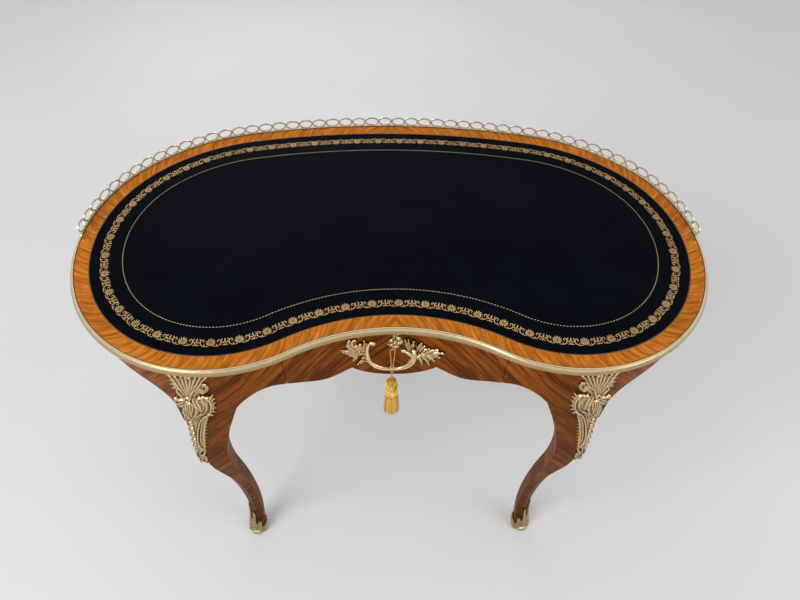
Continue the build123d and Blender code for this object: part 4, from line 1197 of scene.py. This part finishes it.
MOUNT_STROKES = (
    # Fan of flutes at the top
    ("leaf", 3.4, 5.0, ((318, 318), (262, 250), (205, 180), (150, 112))),
    ("leaf", 3.6, 4.2, ((322, 315), (278, 235), (232, 165), (205, 118))),
    ("leaf", 3.6, 4.0, ((326, 312), (298, 225), (270, 160), (256, 112))),
    ("leaf", 3.6, 4.0, ((330, 310), (320, 220), (308, 160), (303, 124))),
    ("leaf", 3.6, 4.0, ((334, 310), (342, 220), (348, 165), (350, 130))),
    ("leaf", 3.6, 4.0, ((338, 310), (366, 225), (386, 170), (398, 130))),
    ("leaf", 3.6, 4.2, ((342, 312), (386, 235), (420, 185), (444, 138))),
    ("leaf", 3.4, 4.6, ((345, 315), (402, 250), (450, 195), (492, 140))),
    ("ridge", 2.2, 4.6, ((150, 114), (178, 168), (205, 212), (238, 240))),
    # Curl of leaf on the inner side
    ("channel", 5.6, 5.6, ((346, 330), (362, 282), (400, 246), (446, 240), (484, 262),
     (516, 250), (520, 218), (492, 206), (476, 222))),
    ("ridge", 3.0, 6.0, ((352, 318), (372, 272), (410, 238), (452, 226))),
    ("leaf", 3.2, 4.4, ((440, 250), (470, 280), (500, 284))),
    ("leaf", 3.0, 4.0, ((462, 205), (500, 196), (524, 212))),
    # Outer side curls
    ("ridge", 4.2, 5.6, ((262, 300), (236, 268), (222, 240), (236, 226), (256, 240))),
    ("ridge", 4.4, 6.2, ((282, 345), (254, 342), (226, 330), (206, 318), (200, 340),
     (218, 356))),
    ("leaf", 3.2, 4.4, ((284, 372), (250, 386), (218, 388), (200, 376))),
    ("leaf", 3.0, 4.0, ((288, 400), (256, 412), (228, 408))),
    ("leaf", 2.8, 3.6, ((296, 330), (270, 318), (244, 306))),
    # Collar and cartouche below the eye
    ("ridge", 4.4, 5.6, ((292, 392), (318, 380), (350, 378), (380, 392))),
    ("channel", 6.2, 4.6, ((336, 400), (338, 440), (346, 480), (362, 520))),
    ("ridge", 3.2, 5.6, ((306, 396), (308, 440), (322, 490), (352, 544))),
    ("ridge", 3.2, 5.6, ((380, 392), (408, 426), (410, 470), (392, 512), (362, 548))),
    ("leaf", 3.0, 4.4, ((372, 410), (372, 450), (366, 490))),
    ("leaf", 3.2, 4.4, ((296, 430), (282, 460), (296, 500))),
    ("leaf", 2.8, 4.0, ((292, 470), (300, 520), (322, 560))),
    # Big scroll on the inner side
    ("ridge", 5.4, 7.4, ((430, 352), (424, 330), (448, 314), (476, 322), (478, 344))),
    ("ridge", 3.6, 7.0, ((440, 322), (486, 310), (534, 330), (562, 376), (566, 430),
     (548, 476), (520, 494))),
    ("bead", 3.4, 5.0, ((500, 312), (556, 334), (584, 384), (588, 436), (568, 484))),
    ("ridge", 3.4, 6.2, ((446, 360), (484, 350), (512, 382), (518, 430), (504, 470),
     (476, 496))),
    ("channel", 7.0, 4.4, ((470, 335), (520, 352), (542, 392), (544, 440), (520, 486))),
    ("leaf", 3.8, 5.2, ((372, 340), (392, 376), (420, 420), (452, 462))),
    ("leaf", 3.8, 5.0, ((398, 330), (424, 376), (446, 420), (466, 468))),
    ("leaf", 3.2, 4.2, ((430, 450), (420, 490), (400, 530))),
    ("ridge", 3.2, 5.0, ((474, 492), (440, 500), (412, 530), (400, 566))),
    # Long second scroll with its shell
    ("ridge", 4.0, 7.2, ((552, 478), (534, 496), (492, 516), (458, 558), (440, 618),
     (432, 690), (434, 760), (450, 812), (478, 838))),
    ("ridge", 2.6, 5.4, ((540, 508), (504, 530), (476, 576), (462, 640), (456, 710),
     (460, 770), (474, 812))),
    ("flute", 7.6, 3.2, ((520, 530), (498, 600), (488, 690), (488, 780), (498, 850))),
    # Leaves down the outer side of the drop
    ("leaf", 3.2, 4.2, ((366, 560), (340, 566), (316, 556))),
    ("leaf", 3.2, 4.4, ((376, 590), (346, 610), (326, 606))),
    ("leaf", 3.2, 4.2, ((380, 640), (354, 654), (334, 648))),
    ("leaf", 3.0, 4.2, ((392, 690), (366, 708), (346, 700))),
    ("leaf", 3.0, 4.2, ((400, 740), (378, 758), (360, 752))),
    ("leaf", 3.0, 4.0, ((408, 790), (388, 812), (374, 804))),
    ("leaf", 3.0, 4.0, ((416, 840), (398, 862), (384, 852))),
    # Lower scrolls and finial
    ("ridge", 3.8, 6.0, ((478, 838), (456, 862), (462, 890), (494, 892), (508, 866))),
    ("ridge", 3.6, 5.6, ((408, 880), (426, 906), (460, 912), (496, 898))),
    ("leaf", 3.2, 4.6, ((420, 870), (400, 892), (404, 916))),
    ("leaf", 3.4, 5.0, ((440, 905), (430, 935), (452, 950), (484, 944))),
    ("leaf", 3.4, 4.6, ((496, 900), (516, 925), (518, 955))),
    ("channel", 4.4, 4.6, ((446, 950), (470, 972), (500, 960))),
    ("ridge", 4.0, 5.8, ((436, 990), (456, 978), (484, 984), (508, 996))),
    ("leaf", 3.2, 4.6, ((478, 985), (480, 1000), (486, 1012))),
)

MOUNT_PLATE = 1.7
MOUNT_FLUTING = 3.4
EYE = (326, 334)
EYE_RING = (25, 22)
FAN_ROOT = (326, 315)
FAN_FLUTES = 8
FAN_TOP = 746.0
FAN_REACH = 15.0
RAGGED_LEAVES = (
    ((178, 148), (142, 150)), ((190, 180), (150, 190)), ((206, 214), (170, 232)),
    ((546, 332), (574, 312)), ((562, 354), (594, 340)), ((570, 386), (606, 380)),
    ((570, 420), (608, 426)), ((562, 454), (598, 470)), ((546, 484), (580, 508)),
)
MOUNT_TEETH = (524, 528, 528, 527, 525, 524, 523, 522, 522, 520)
FIRST_TOOTH = 560
TOOTH_STEP = 32
DROP_BEADS = ((358, 566, 3.4), (366, 594, 3.0), (374, 624, 3.6), (382, 652, 2.8),
              (388, 680, 3.4), (394, 708, 2.6), (400, 736, 3.2), (406, 764, 2.5),
              (410, 790, 3.0), (414, 816, 2.4), (418, 842, 2.8))


def mount_relief():
    """The mount of one leg, and the skin of the front left leg that it was found on."""
    relief = Relief(MOUNT_LEFT, MOUNT_RIGHT, MOUNT_LOW, MOUNT_HIGH, MOUNT_PITCH)
    skin = leg_skin("front", "left", relief.a, relief.b)
    photo = PhotoMap(relief, skin)
    relief.plate(photo.line(MOUNT_GROUND), MOUNT_PLATE)
    for kind, width, height, points in MOUNT_STROKES:
        widths = (0.8 * width, width, width, 0.45 * width)
        heights = (0.7 * height, height, height, 0.6 * height)
        relief.stroke(photo.line(points), widths, heights, kind, pitch=MOUNT_FLUTING)
    root = photo.find(FAN_ROOT)
    tips, ends = [], []
    for flute in MOUNT_STROKES[:FAN_FLUTES]:
        tip = photo.find(flute[-1][-1])
        ahead = (tip - root) / np.hypot(*(tip - root))
        end = tip + min(FAN_REACH, (FAN_TOP - tip[1]) / ahead[1]) * ahead
        relief.stroke([tip - 3.0 * ahead, 0.4 * tip + 0.6 * end, end], (3.6, 5.2, 2.4),
                      (4.4, 5.2, 3.0), "leaf")
        tips.append(tip)
        ends.append(end - 1.5 * ahead)
    relief.plate([*tips, *reversed(ends)], MOUNT_PLATE)
    for points in RAGGED_LEAVES:
        relief.stroke(photo.line(points), (6.6, 6.6, 3.6), (4.4, 4.0, 2.4), "leaf")
    for k, x in enumerate(MOUNT_TEETH):
        y = FIRST_TOOTH + TOOTH_STEP * k
        relief.stroke(photo.line(((x - 44, y - 10), (x, y))), (4.6, 2.0), (2.6, 2.2), "leaf")
    for x, y, size in DROP_BEADS:
        relief.boss(photo.find((x, y)), (0.0, -1.0), 2.0 * size, 1.5 * size)
    ring = [(EYE[0] + EYE_RING[0] * math.cos(t), EYE[1] + EYE_RING[1] * math.sin(t))
            for t in (*turns(10), 0.0)]
    relief.stroke(photo.line(ring), 3.2, 6.4)
    relief.boss(photo.find(EYE), (0.0, -1.5), 5.4, 4.2)
    return relief, skin


def knee_mounts():
    relief, first_skin = mount_relief()
    heights, drifts = zip(*reversed(MOUNT_DRIFT))
    for site, hand in LEGS:
        across = relief.a
        if site == "back":
            across = relief.a - np.interp(relief.b, heights, drifts)
        same = (site, hand) == LEGS[0]
        skin = first_skin if same else leg_skin(site, hand, across, relief.b)
        seat = leg_seat(site, hand, skin)
        piece = lay_relief(relief, lambda a, b, h: seat(across, b, h),
                           f"knee_mount_cast_{site}_{hand}", "table")
        faces_outward(piece, leg_axes(site, hand)[1])
        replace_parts(piece, f"knee_mount_{site}_{hand}")


knee_mounts()


# Handle: foliage laid on the drawer front and a swept grip, numbers in millimetres

FRONT_RADIUS = 344.54


def front_seat(across, up, height):
    """Lays the relief on the drawer front, out from its hollow curve."""
    skin = HOLLOW[1] + np.sqrt(FRONT_RADIUS ** 2 - across ** 2)
    y = skin - height * np.cos(np.arctan2(across, FRONT_RADIUS))
    return np.stack((across, y, up), axis=-1)


LEFT_LEAVES = (
    ("ridge", 3.4, 5.0, ((-62, 690), (-68, 699), (-78, 706), (-90, 710))),
    ("leaf", 5.4, 4.6, ((-64, 688), (-70, 695), (-78, 701), (-87, 705))),
    ("leaf", 5.0, 4.4, ((-64, 686), (-69, 690), (-75, 695), (-82, 698))),
    ("leaf", 5.0, 4.2, ((-64, 684), (-67, 686), (-72, 689), (-76, 691))),
    ("leaf", 5.4, 4.4, ((-63, 690), (-65, 683), (-67, 679), (-70, 674))),
    ("ridge", 3.0, 5.6, ((-64, 690), (-64, 683), (-66, 677))),
    ("leaf", 7.0, 6.4, ((-60, 702), (-68, 706), (-74, 715), (-77, 725), (-75, 735))),
    ("leaf", 4.6, 5.6, ((-62, 708), (-68, 716), (-71, 726), (-67, 733), (-64, 730))),
    ("leaf", 3.8, 4.6, ((-70, 710), (-76, 716), (-80, 724))),
    ("leaf", 3.6, 4.6, ((-66, 704), (-72, 706), (-78, 712))),
    ("leaf", 6.0, 6.6, ((-59, 705), (-63, 710), (-65, 716))),
    ("leaf", 6.0, 6.6, ((-59, 705), (-58, 713), (-57, 720))),
    ("leaf", 6.0, 6.4, ((-59, 705), (-53, 709), (-50, 714))),
    ("leaf", 6.0, 6.2, ((-59, 705), (-54, 701), (-50, 697))),
    ("leaf", 6.0, 6.2, ((-59, 705), (-60, 698), (-61, 692))),
    ("leaf", 6.0, 6.2, ((-59, 705), (-65, 702), (-69, 699))),
    ("leaf", 4.6, 5.4, ((-50, 694), (-49, 708), (-50, 718), (-51, 727))),
    ("leaf", 3.8, 4.8, ((-49, 700), (-46, 710), (-46, 719))),
    ("leaf", 4.6, 4.8, ((-47, 676), (-54, 672), (-59, 667), (-63, 659))),
    ("leaf", 4.0, 4.4, ((-48, 674), (-54, 667), (-57, 662), (-58, 657))),
    ("leaf", 3.4, 4.2, ((-47, 676), (-53, 677), (-58, 674))),
    ("ridge", 5.2, 5.0, ((-64, 689), (-57, 692), (-50, 689), (-45, 682))),
)
LEFT_GROUND = ((-90, 710), (-78, 709), (-68, 702), (-72, 708), (-78, 722), (-75, 733),
               (-68, 730), (-62, 718), (-50, 718), (-44, 700), (-44, 684), (-48, 672),
               (-54, 674), (-54, 686), (-62, 686), (-69, 675), (-74, 686), (-84, 698))
RIGHT_LEAVES = (
    ("leaf", 5.2, 5.6, ((27, 688), (23, 700), (20, 712), (16, 725))),
    ("leaf", 4.6, 5.4, ((29, 690), (26, 704), (23, 714), (22, 725))),
    ("leaf", 5.2, 5.8, ((32, 690), (30, 702), (30, 712), (31, 722))),
    ("leaf", 5.0, 5.8, ((36, 690), (38, 702), (41, 711), (44, 718))),
    ("leaf", 4.6, 5.2, ((40, 690), (43, 700), (46, 706), (50, 711))),
    ("leaf", 4.6, 5.0, ((44, 690), (49, 698), (53, 702), (58, 704))),
    ("leaf", 5.0, 5.6, ((48, 690), (57, 697), (64, 702), (72, 706))),
    ("leaf", 5.4, 5.8, ((52, 689), (62, 693), (72, 697), (82, 698))),
    ("leaf", 5.0, 5.4, ((52, 687), (60, 689), (68, 688), (77, 683))),
    ("leaf", 5.0, 5.4, ((48, 686), (56, 683), (63, 678), (68, 671))),
    ("leaf", 5.0, 5.4, ((44, 685), (50, 678), (56, 668), (60, 656))),
    ("leaf", 4.8, 5.2, ((40, 684), (43, 675), (46, 665), (48, 655))),
    ("leaf", 4.4, 4.8, ((36, 682), (38, 675), (41, 668))),
    ("leaf", 4.0, 4.6, ((56, 692), (62, 699), (66, 703))),
    ("leaf", 4.0, 4.6, ((60, 690), (68, 692), (76, 692))),
    ("ridge", 3.6, 7.2, ((28, 686), (42, 689), (58, 691), (78, 697))),
)
RIGHT_GROUND = ((26, 680), (34, 670), (42, 670), (47, 658), (52, 670), (59, 658), (63, 670),
                (72, 680), (76, 690), (80, 698), (70, 703), (60, 701), (50, 704), (44, 714),
                (38, 706), (31, 718), (26, 712), (19, 720), (22, 702))
BOSSES = ((-59, 705, 7.0, 8.4), (-45, 690, 4.0, 6.4), (31, 694, 6.4, 8.2),
          (43, 689, 5.0, 7.6), (53, 690, 4.0, 6.8), (-70, 703, 3.0, 6.0))

GRIP = (
    (-32.4, -229.0, 724.6, 1.2), (-33.4, -229.2, 725.4, 3.6), (-36.0, -229.6, 726.6, 4.6),
    (-38.8, -230.0, 727.4, 3.8), (-41.0, -230.4, 726.9, 2.5), (-44.2, -231.4, 722.0, 2.5),
    (-46.0, -233.0, 712.0, 2.8), (-45.6, -235.0, 701.0, 3.2), (-43.2, -237.4, 691.0, 3.6),
    (-38.2, -239.6, 682.5, 3.9), (-30.0, -241.0, 675.4, 4.1), (-20.0, -241.6, 670.6, 4.0),
    (-8.0, -241.8, 668.0, 3.6), (4.0, -241.6, 668.8, 3.7), (14.0, -241.2, 672.2, 4.5),
    (22.0, -240.2, 677.6, 5.5), (28.0, -238.4, 684.6, 6.1), (31.4, -235.6, 692.4, 5.6),
    (32.0, -231.6, 699.4, 4.6), (31.0, -227.4, 704.6, 3.2),
)
TENDRILS = (
    ((-46, -233, 702, 2.4), (-50, -230, 697, 2.6), (-54, -226, 693, 2.6), (-58, -223, 691, 2)),
    ((-43, -238, 690, 2.2), (-47, -235, 683, 2.4), (-52, -230, 678, 2.0), (-56, -226, 674, 1)),
    ((-40, -242.4, 684, 0.8), (-34, -244.6, 678.4, 1.5), (-24, -245.4, 673.0, 1.3),
     (-12, -245.2, 669.4, 0.6)),
    ((8, -245.0, 670.6, 0.6), (17, -245.4, 675.0, 1.5), (24, -245.2, 681.0, 2.1),
     (28, -243.6, 687.6, 1.7), (29, -241.2, 692.6, 0.6)),
    ((30, -236, 694, 3.0), (27, -237, 701, 3.0), (22, -236, 706, 2.8), (17.6, -235, 709.4, 2.6),
     (15.4, -234.4, 710.6, 3.5), (13.4, -234, 711.4, 3.8), (11.2, -233.6, 711.6, 2.9),
     (10.0, -233.4, 711.6, 1.0)),
    ((31, -236, 690, 3.0), (36, -233, 690, 3.2), (42, -229, 690, 3.0), (48, -225, 690, 2.0)),
    ((20, -244, 673, 0.6), (27, -243.6, 679, 1.2), (33, -240.6, 688, 1.3),
     (34, -236.6, 697, 0.6)),
)


def swept(shape, points, sides, steps, mark=0.9):
    """Tube along a smooth line through points, the last number of each its radius."""
    path = smooth_path([p[:3] for p in points], steps)
    tube(shape, path, spread([p[3] for p in points], len(path)), sides, mark=mark)


LEAF_FULLNESS = 1.16
HANDLE_LOW = 650
HANDLE_HIGH = 738
HANDLE_PITCH = 0.8
HANDLE_PLATE = 2.2
BROAD_LEAF = 4.4


def handle():
    made = []
    for name, leaves, ground, left, right in (
            ("handle_leaves_left", LEFT_LEAVES, LEFT_GROUND, -93, -40),
            ("handle_leaves_right", RIGHT_LEAVES, RIGHT_GROUND, 10, 86)):
        relief = Relief(left, right, HANDLE_LOW, HANDLE_HIGH, HANDLE_PITCH)
        relief.plate(ground, HANDLE_PLATE)
        for kind, width, height, points in leaves:
            if kind == "leaf" and width > BROAD_LEAF:
                relief.frond(points, 0.95 * width, 3, 0.9 * height, lean=44,
                             width=0.62 * width, spine=0.5 * width, start=0.3)
                relief.boss(points[-1], (0.2, 0.4), 0.7 * width, 0.8 * height)
            width *= LEAF_FULLNESS
            relief.stroke(points, (0.6 * width, width, width, 0.35 * width),
                          (height, height, 0.9 * height, 0.5 * height), kind)
        for x, z, size, height in BOSSES:
            relief.boss((x, z), (0.0, -0.6), size, height)
        piece = lay_relief(relief, front_seat, name, "drawer")
        faces_outward(piece, Vector((0, -1, 0)))
        made.append(piece)
    shape = Shape()
    swept(shape, GRIP, 14, 5)
    for tendril in TENDRILS:
        swept(shape, tendril, 9, 4)
    made.append(shape.build("handle_grip_cast", ORMOLU, "drawer", "gilt_brass", mark="hollow"))
    for piece in made:
        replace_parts(piece, "drawer_handle")


handle()


# Key bow: raised rims and beads on its three lobes, rolled with the key

KEY_AXIS = 742.5
BOW_ROLL = math.radians(22.0)
BOW_LOBES = ((-6.6, -238.6), (6.6, -238.6), (0.0, -244.0))
BOW_WIRES = ((4.7, 0.75), (3.3, 0.5))
BOW_BEADS = ((-11.6, -240.6, 1.3), (11.6, -240.6, 1.3), (-4.4, -247.6, 1.2), (4.4, -247.6, 1.2),
             (0.0, -237.4, 1.5), (-7.6, -233.6, 1.2), (7.6, -233.6, 1.2))
BOW_SCROLL = ((1.2, -229.0), (2.6, -231.6), (5.6, -232.4), (8.6, -232.8), (10.4, -234.8),
              (9.6, -236.4))
SHANK_COLLARS = ((-229.4, 3.2), (-227.0, 3.9), (-224.6, 3.2))


def rolled(x, y, lift):
    return (x * math.cos(BOW_ROLL) - lift * math.sin(BOW_ROLL), y,
            KEY_AXIS + x * math.sin(BOW_ROLL) + lift * math.cos(BOW_ROLL))


def key_bow():
    shape = Shape()
    for face in (-1, 1):
        for x, y in BOW_LOBES:
            for radius, wire in BOW_WIRES:
                ring = [rolled(x + radius * math.cos(t), y + radius * math.sin(t), face * 1.5)
                        for t in turns(28)]
                tube(shape, ring, wire, 8, closed=True, mark=0.9)
        for x, y, size in BOW_BEADS:
            line = [rolled(x, y, face * lift) for lift in (0.2, 0.9, 1.7, 2.3, 2.6)]
            tube(shape, line, [size, size, 0.9 * size, 0.55 * size, 0.1 * size], 9, mark=0.9)
        for side in (-1, 1):
            line = smooth_path([rolled(side * x, y, face * 1.4) for x, y in BOW_SCROLL], 4)
            tube(shape, line, spread([0.9, 1.0, 0.9, 0.7, 0.5], len(line)), 8, mark=0.85)
    for level, radius in SHANK_COLLARS:
        ring = [(radius * math.cos(t), level, KEY_AXIS + radius * math.sin(t))
                for t in turns(28)]
        tube(shape, ring, 0.7, 8, closed=True, mark=0.8)
    shape.build("key_bow_chasing", KEY_CAST, "key", "key_brass", mark="hollow")


key_bow()


# Sabots: leaves wrapped round each foot, drawn by distance round it and height

SABOT_RADIUS = 17.0
SABOT_WALL = 1.0
SABOT_TOP = 134.0
FOOT_LOW = 6.5
FOOT_LOOK = 70.0
SOLE_HIGH = 12.0
SABOT_PLATE = 1.2
SABOT_PITCH = 0.9
SABOT_CURLS = ((4.5, 20, 4.6, 0, (3.0, 2.4, 1.6), 4.2), (22, 24, 4.0, 3, (2.8, 2.2, 1.4), 3.6))
TOE_INSET = 6.0
TOE_HEIGHT = 7.6
FOOT_HEIGHTS = (5.0, 55.0, 110.0)
FOOT_FORWARD = (0.0, -9.0, -16.0)
FOOT_INWARD = (0.0, 4.0, 7.0)
LEAVES_ROUND = ((-22, 130, 14), (-7, 98, 13), (8, 58, 12), (22, 40, 11), (37, 34, 11),
                (-37, 108, 13), (-52, 72, 12), (52, 36, 11))


def foot_middle(site, hand):
    """Ways forward and inward at a foot, its middle on the floor, and its foremost place."""
    origin, forward, inward = leg_axes(site, hand)
    mesh = frame["nodes"][f"leg_{site}_{hand}"].data
    foot = [PER_METRE * v.co for v in mesh.vertices if PER_METRE * v.co.z < SOLE_HIGH]
    middle = sum(foot, Vector()) / len(foot)
    sole = [PER_METRE * v.co for v in frame["nodes"][f"sabot_{site}_{hand}"].data.vertices]
    nose = origin + max((v - origin).dot(forward) for v in sole) * forward
    return forward, inward, Vector((middle.x, middle.y, 0.0)), nose


def acanthus(relief, s, tall, wide):
    """Upright leaf with pairs of broad lobes that turn up off its rib."""
    pairs = max(2, round((tall - 14.0) / 8.5))
    for k in range(pairs):
        share = k / pairs
        z = 13.0 + share * (tall - 20.0)
        reach = 0.5 * wide * (1.0 - 0.6 * share)
        for side in (-1, 1):
            lobe = [(s, z), (s + 0.6 * side * reach, z + 2.6), (s + side * reach, z + 7.6)]
            relief.stroke(lobe, (4.6, 5.0, 2.6), (1.8, 2.9 - share, 2.0 - share), "leaf")
    relief.stroke([(s, 10), (s, 0.5 * tall), (s - 0.8, tall)], (3.4, 3.0, 1.6), (3.6, 2.6, 1.5))


def sabot_relief():
    half = math.pi * SABOT_RADIUS
    relief = Relief(-half, half, 0.6, SABOT_TOP, SABOT_PITCH)
    top = [(s, 38 + 6 * math.cos(s / SABOT_RADIUS) - 22 * math.sin(s / SABOT_RADIUS)
            + 3 * math.sin(s / 2.1)) for s in np.linspace(-half - 1, half + 1, 90)]
    relief.plate([(-half - 1, -4.0), *top, (half + 1, -4.0)], SABOT_PLATE)
    for s, tall, wide in LEAVES_ROUND:
        acanthus(relief, s, tall, wide)
    relief.stroke([(-half - 2, 3.2), (half + 2, 3.2)], 5.6, 3.4)
    relief.stroke([(-half - 2, 9.0), (half + 2, 9.0)], 3.4, 2.6, "bead", pitch=4.2)
    for side in (-1, 1):
        for s, z, size, start, widths, height in SABOT_CURLS:
            curl = [(side * (s + size * (1 - t) * math.cos(start + 7 * t)),
                     z + size * (1 - t) * math.sin(start + 7 * t))
                    for t in np.linspace(0, 0.9, 12)]
            relief.stroke(curl, widths, height, steps=2)
    return relief


def foot_lean(height, forward, inward):
    """How far the middle of the leg stands from the middle of its foot at each height."""
    ahead = np.interp(height, FOOT_HEIGHTS, FOOT_FORWARD)[..., None]
    inside = np.interp(height, FOOT_HEIGHTS, FOOT_INWARD)[..., None]
    return ahead * np.array(forward) + inside * np.array(inward)


def sabot_seat(site, hand, relief):
    """Wraps the relief round a foot, out from its skin."""
    forward, inward, middle, _ = foot_middle(site, hand)
    tree = tree_of(f"leg_{site}_{hand}")
    turn = (relief.a / SABOT_RADIUS)[..., None]
    out = np.cos(turn) * np.array(forward) + np.sin(turn) * np.array(inward)
    heights = np.maximum(relief.b, FOOT_LOW)
    starts = np.array(middle) + foot_lean(heights, forward, inward) + FOOT_LOOK * out
    starts[..., 2] = heights
    gaps = gaps_along(tree, starts, -out, FOOT_LOOK, FOOT_LOOK - SABOT_RADIUS)
    reach = blurred(FOOT_LOOK - gaps, 3)

    def seat(_, up, height):
        low = np.clip(up, 0.5, None)
        spot = np.array(middle) + foot_lean(low, forward, inward)
        spot = spot + (reach + SABOT_WALL + height)[..., None] * out
        return np.stack((spot[..., 0], spot[..., 1], low), axis=-1)
    return seat


def toe(shape, site, hand):
    """Scroll at the tip of a foot, with ribs round it and three leaves over it."""
    forward, inward, _, nose = foot_middle(site, hand)
    centre = nose - TOE_INSET * forward
    centre.z = TOE_HEIGHT

    def at(turn, radius, aside):
        spot = centre + radius * math.cos(turn) * forward + aside * inward
        return (spot.x, spot.y, spot.z + radius * math.sin(turn))

    for side in (-1, 1):
        spiral = [at(math.pi - 0.45 * k, 6.2 - 0.30 * k, side * (6.6 + 0.05 * k))
                  for k in range(19)]
        tube(shape, spiral, spread([1.4, 1.3, 1.0], len(spiral)), 8, mark=0.95)
        bead = [at(0.0, 0.01, side * reach) for reach in (5.0, 7.4, 8.8, 9.4)]
        tube(shape, bead, [2.2, 2.2, 1.5, 0.2], 9, mark=0.95)
    for aside in (-4.8, -2.4, 0.0, 2.4, 4.8):
        rib = [at(math.pi - 0.32 * k, 5.6 + 0.2 * (aside == 0.0), aside) for k in range(20)]
        tube(shape, rib, 1.4, 8, mark=0.85)
    # The body under the ribs has a low hollow mark: painted shade between the ribs.
    body = [at(0.0, 0.01, aside) for aside in (-6.4, -3.0, 0.0, 3.0, 6.4)]
    tube(shape, body, 5.4, 18, mark=0.3)
    for aside, slant, size in ((-2.6, 0.6, 2.3), (2.6, -0.6, 2.3), (0.0, 0.0, 2.7)):
        neck = [at(math.pi * 0.5, 4.0 + k, aside + slant * k) for k in range(5)]
        tube(shape, neck, [size, size, 0.8 * size, 0.55 * size, 0.2 * size], 9, mark=0.8)


def sabots():
    relief = sabot_relief()
    for site, hand in LEGS:
        seat = sabot_seat(site, hand, relief)
        piece = lay_relief(relief, seat, f"sabot_cast_{site}_{hand}", "table")
        centre = foot_middle(site, hand)[2]
        check = piece.data.polygons[len(piece.data.polygons) // 2]
        if (PER_METRE * check.center - centre).dot(check.normal) < 0:
            piece.data.flip_normals()
        shape = Shape()
        toe(shape, site, hand)
        scroll = shape.build(f"sabot_toe_{site}_{hand}", ORMOLU, "table", "gilt_brass",
                             mark="hollow")
        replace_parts(piece, f"sabot_{site}_{hand}")
        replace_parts(scroll, f"sabot_{site}_{hand}")


sabots()


# Floor, lamps and surroundings

FLOOR_HALF = 14000.0
AIR_COLOUR = (0.80, 0.80, 0.81, 1.0)
AIR_STRENGTH = 0.9


def floor_material():
    paint = Paint("floor_finish", Roughness=0.85, Specular_IOR_Level=0.2)
    return paint.cover(paint.ramp(paint.noise(1.3, 2.0), (0.2, grey(0.66)), (0.8, grey(0.70))))


def lay_floor():
    mesh = bpy.data.meshes.new("floor_sheet")
    half = MM * FLOOR_HALF
    corners = [(-half, -half, 0.0), (half, -half, 0.0), (half, half, 0.0), (-half, half, 0.0)]
    mesh.from_pydata(corners, [], [(0, 1, 2, 3)])
    mesh.materials.append(floor_material())
    floor = in_scene("floor_sheet", mesh)


def area_lamp(name, place, target, width, depth, power):
    data = bpy.data.lights.new(name, "AREA")
    data.shape = "RECTANGLE"
    data.size = width
    data.size_y = depth
    data.energy = power
    facing = (Vector(target) - Vector(place)).to_track_quat("-Z", "Y")
    turn = facing.to_matrix().to_4x4()
    in_scene(name, data).matrix_world = Matrix.Translation(place) @ turn


def light_scene():
    world = bpy.data.worlds.new("soft_surroundings")
    bpy.context.scene.world = world
    world.use_nodes = True
    backdrop = world.node_tree.nodes["Background"]
    backdrop.inputs["Color"].default_value = AIR_COLOUR
    backdrop.inputs["Strength"].default_value = AIR_STRENGTH
    area_lamp("key_lamp", (-1.7, -1.5, 2.6), (0.0, 0.0, 0.6), 1.6, 1.1, 44.0)
    area_lamp("fill_lamp", (2.0, -1.1, 2.2), (0.0, 0.0, 0.5), 1.4, 1.4, 12.0)
    area_lamp("rear_lamp", (-0.6, 2.6, 1.5), (0.0, 0.0, 0.6), 1.8, 0.8, 10.0)


lay_floor()
light_scene()
bpy.context.scene.view_settings.view_transform = "Standard"
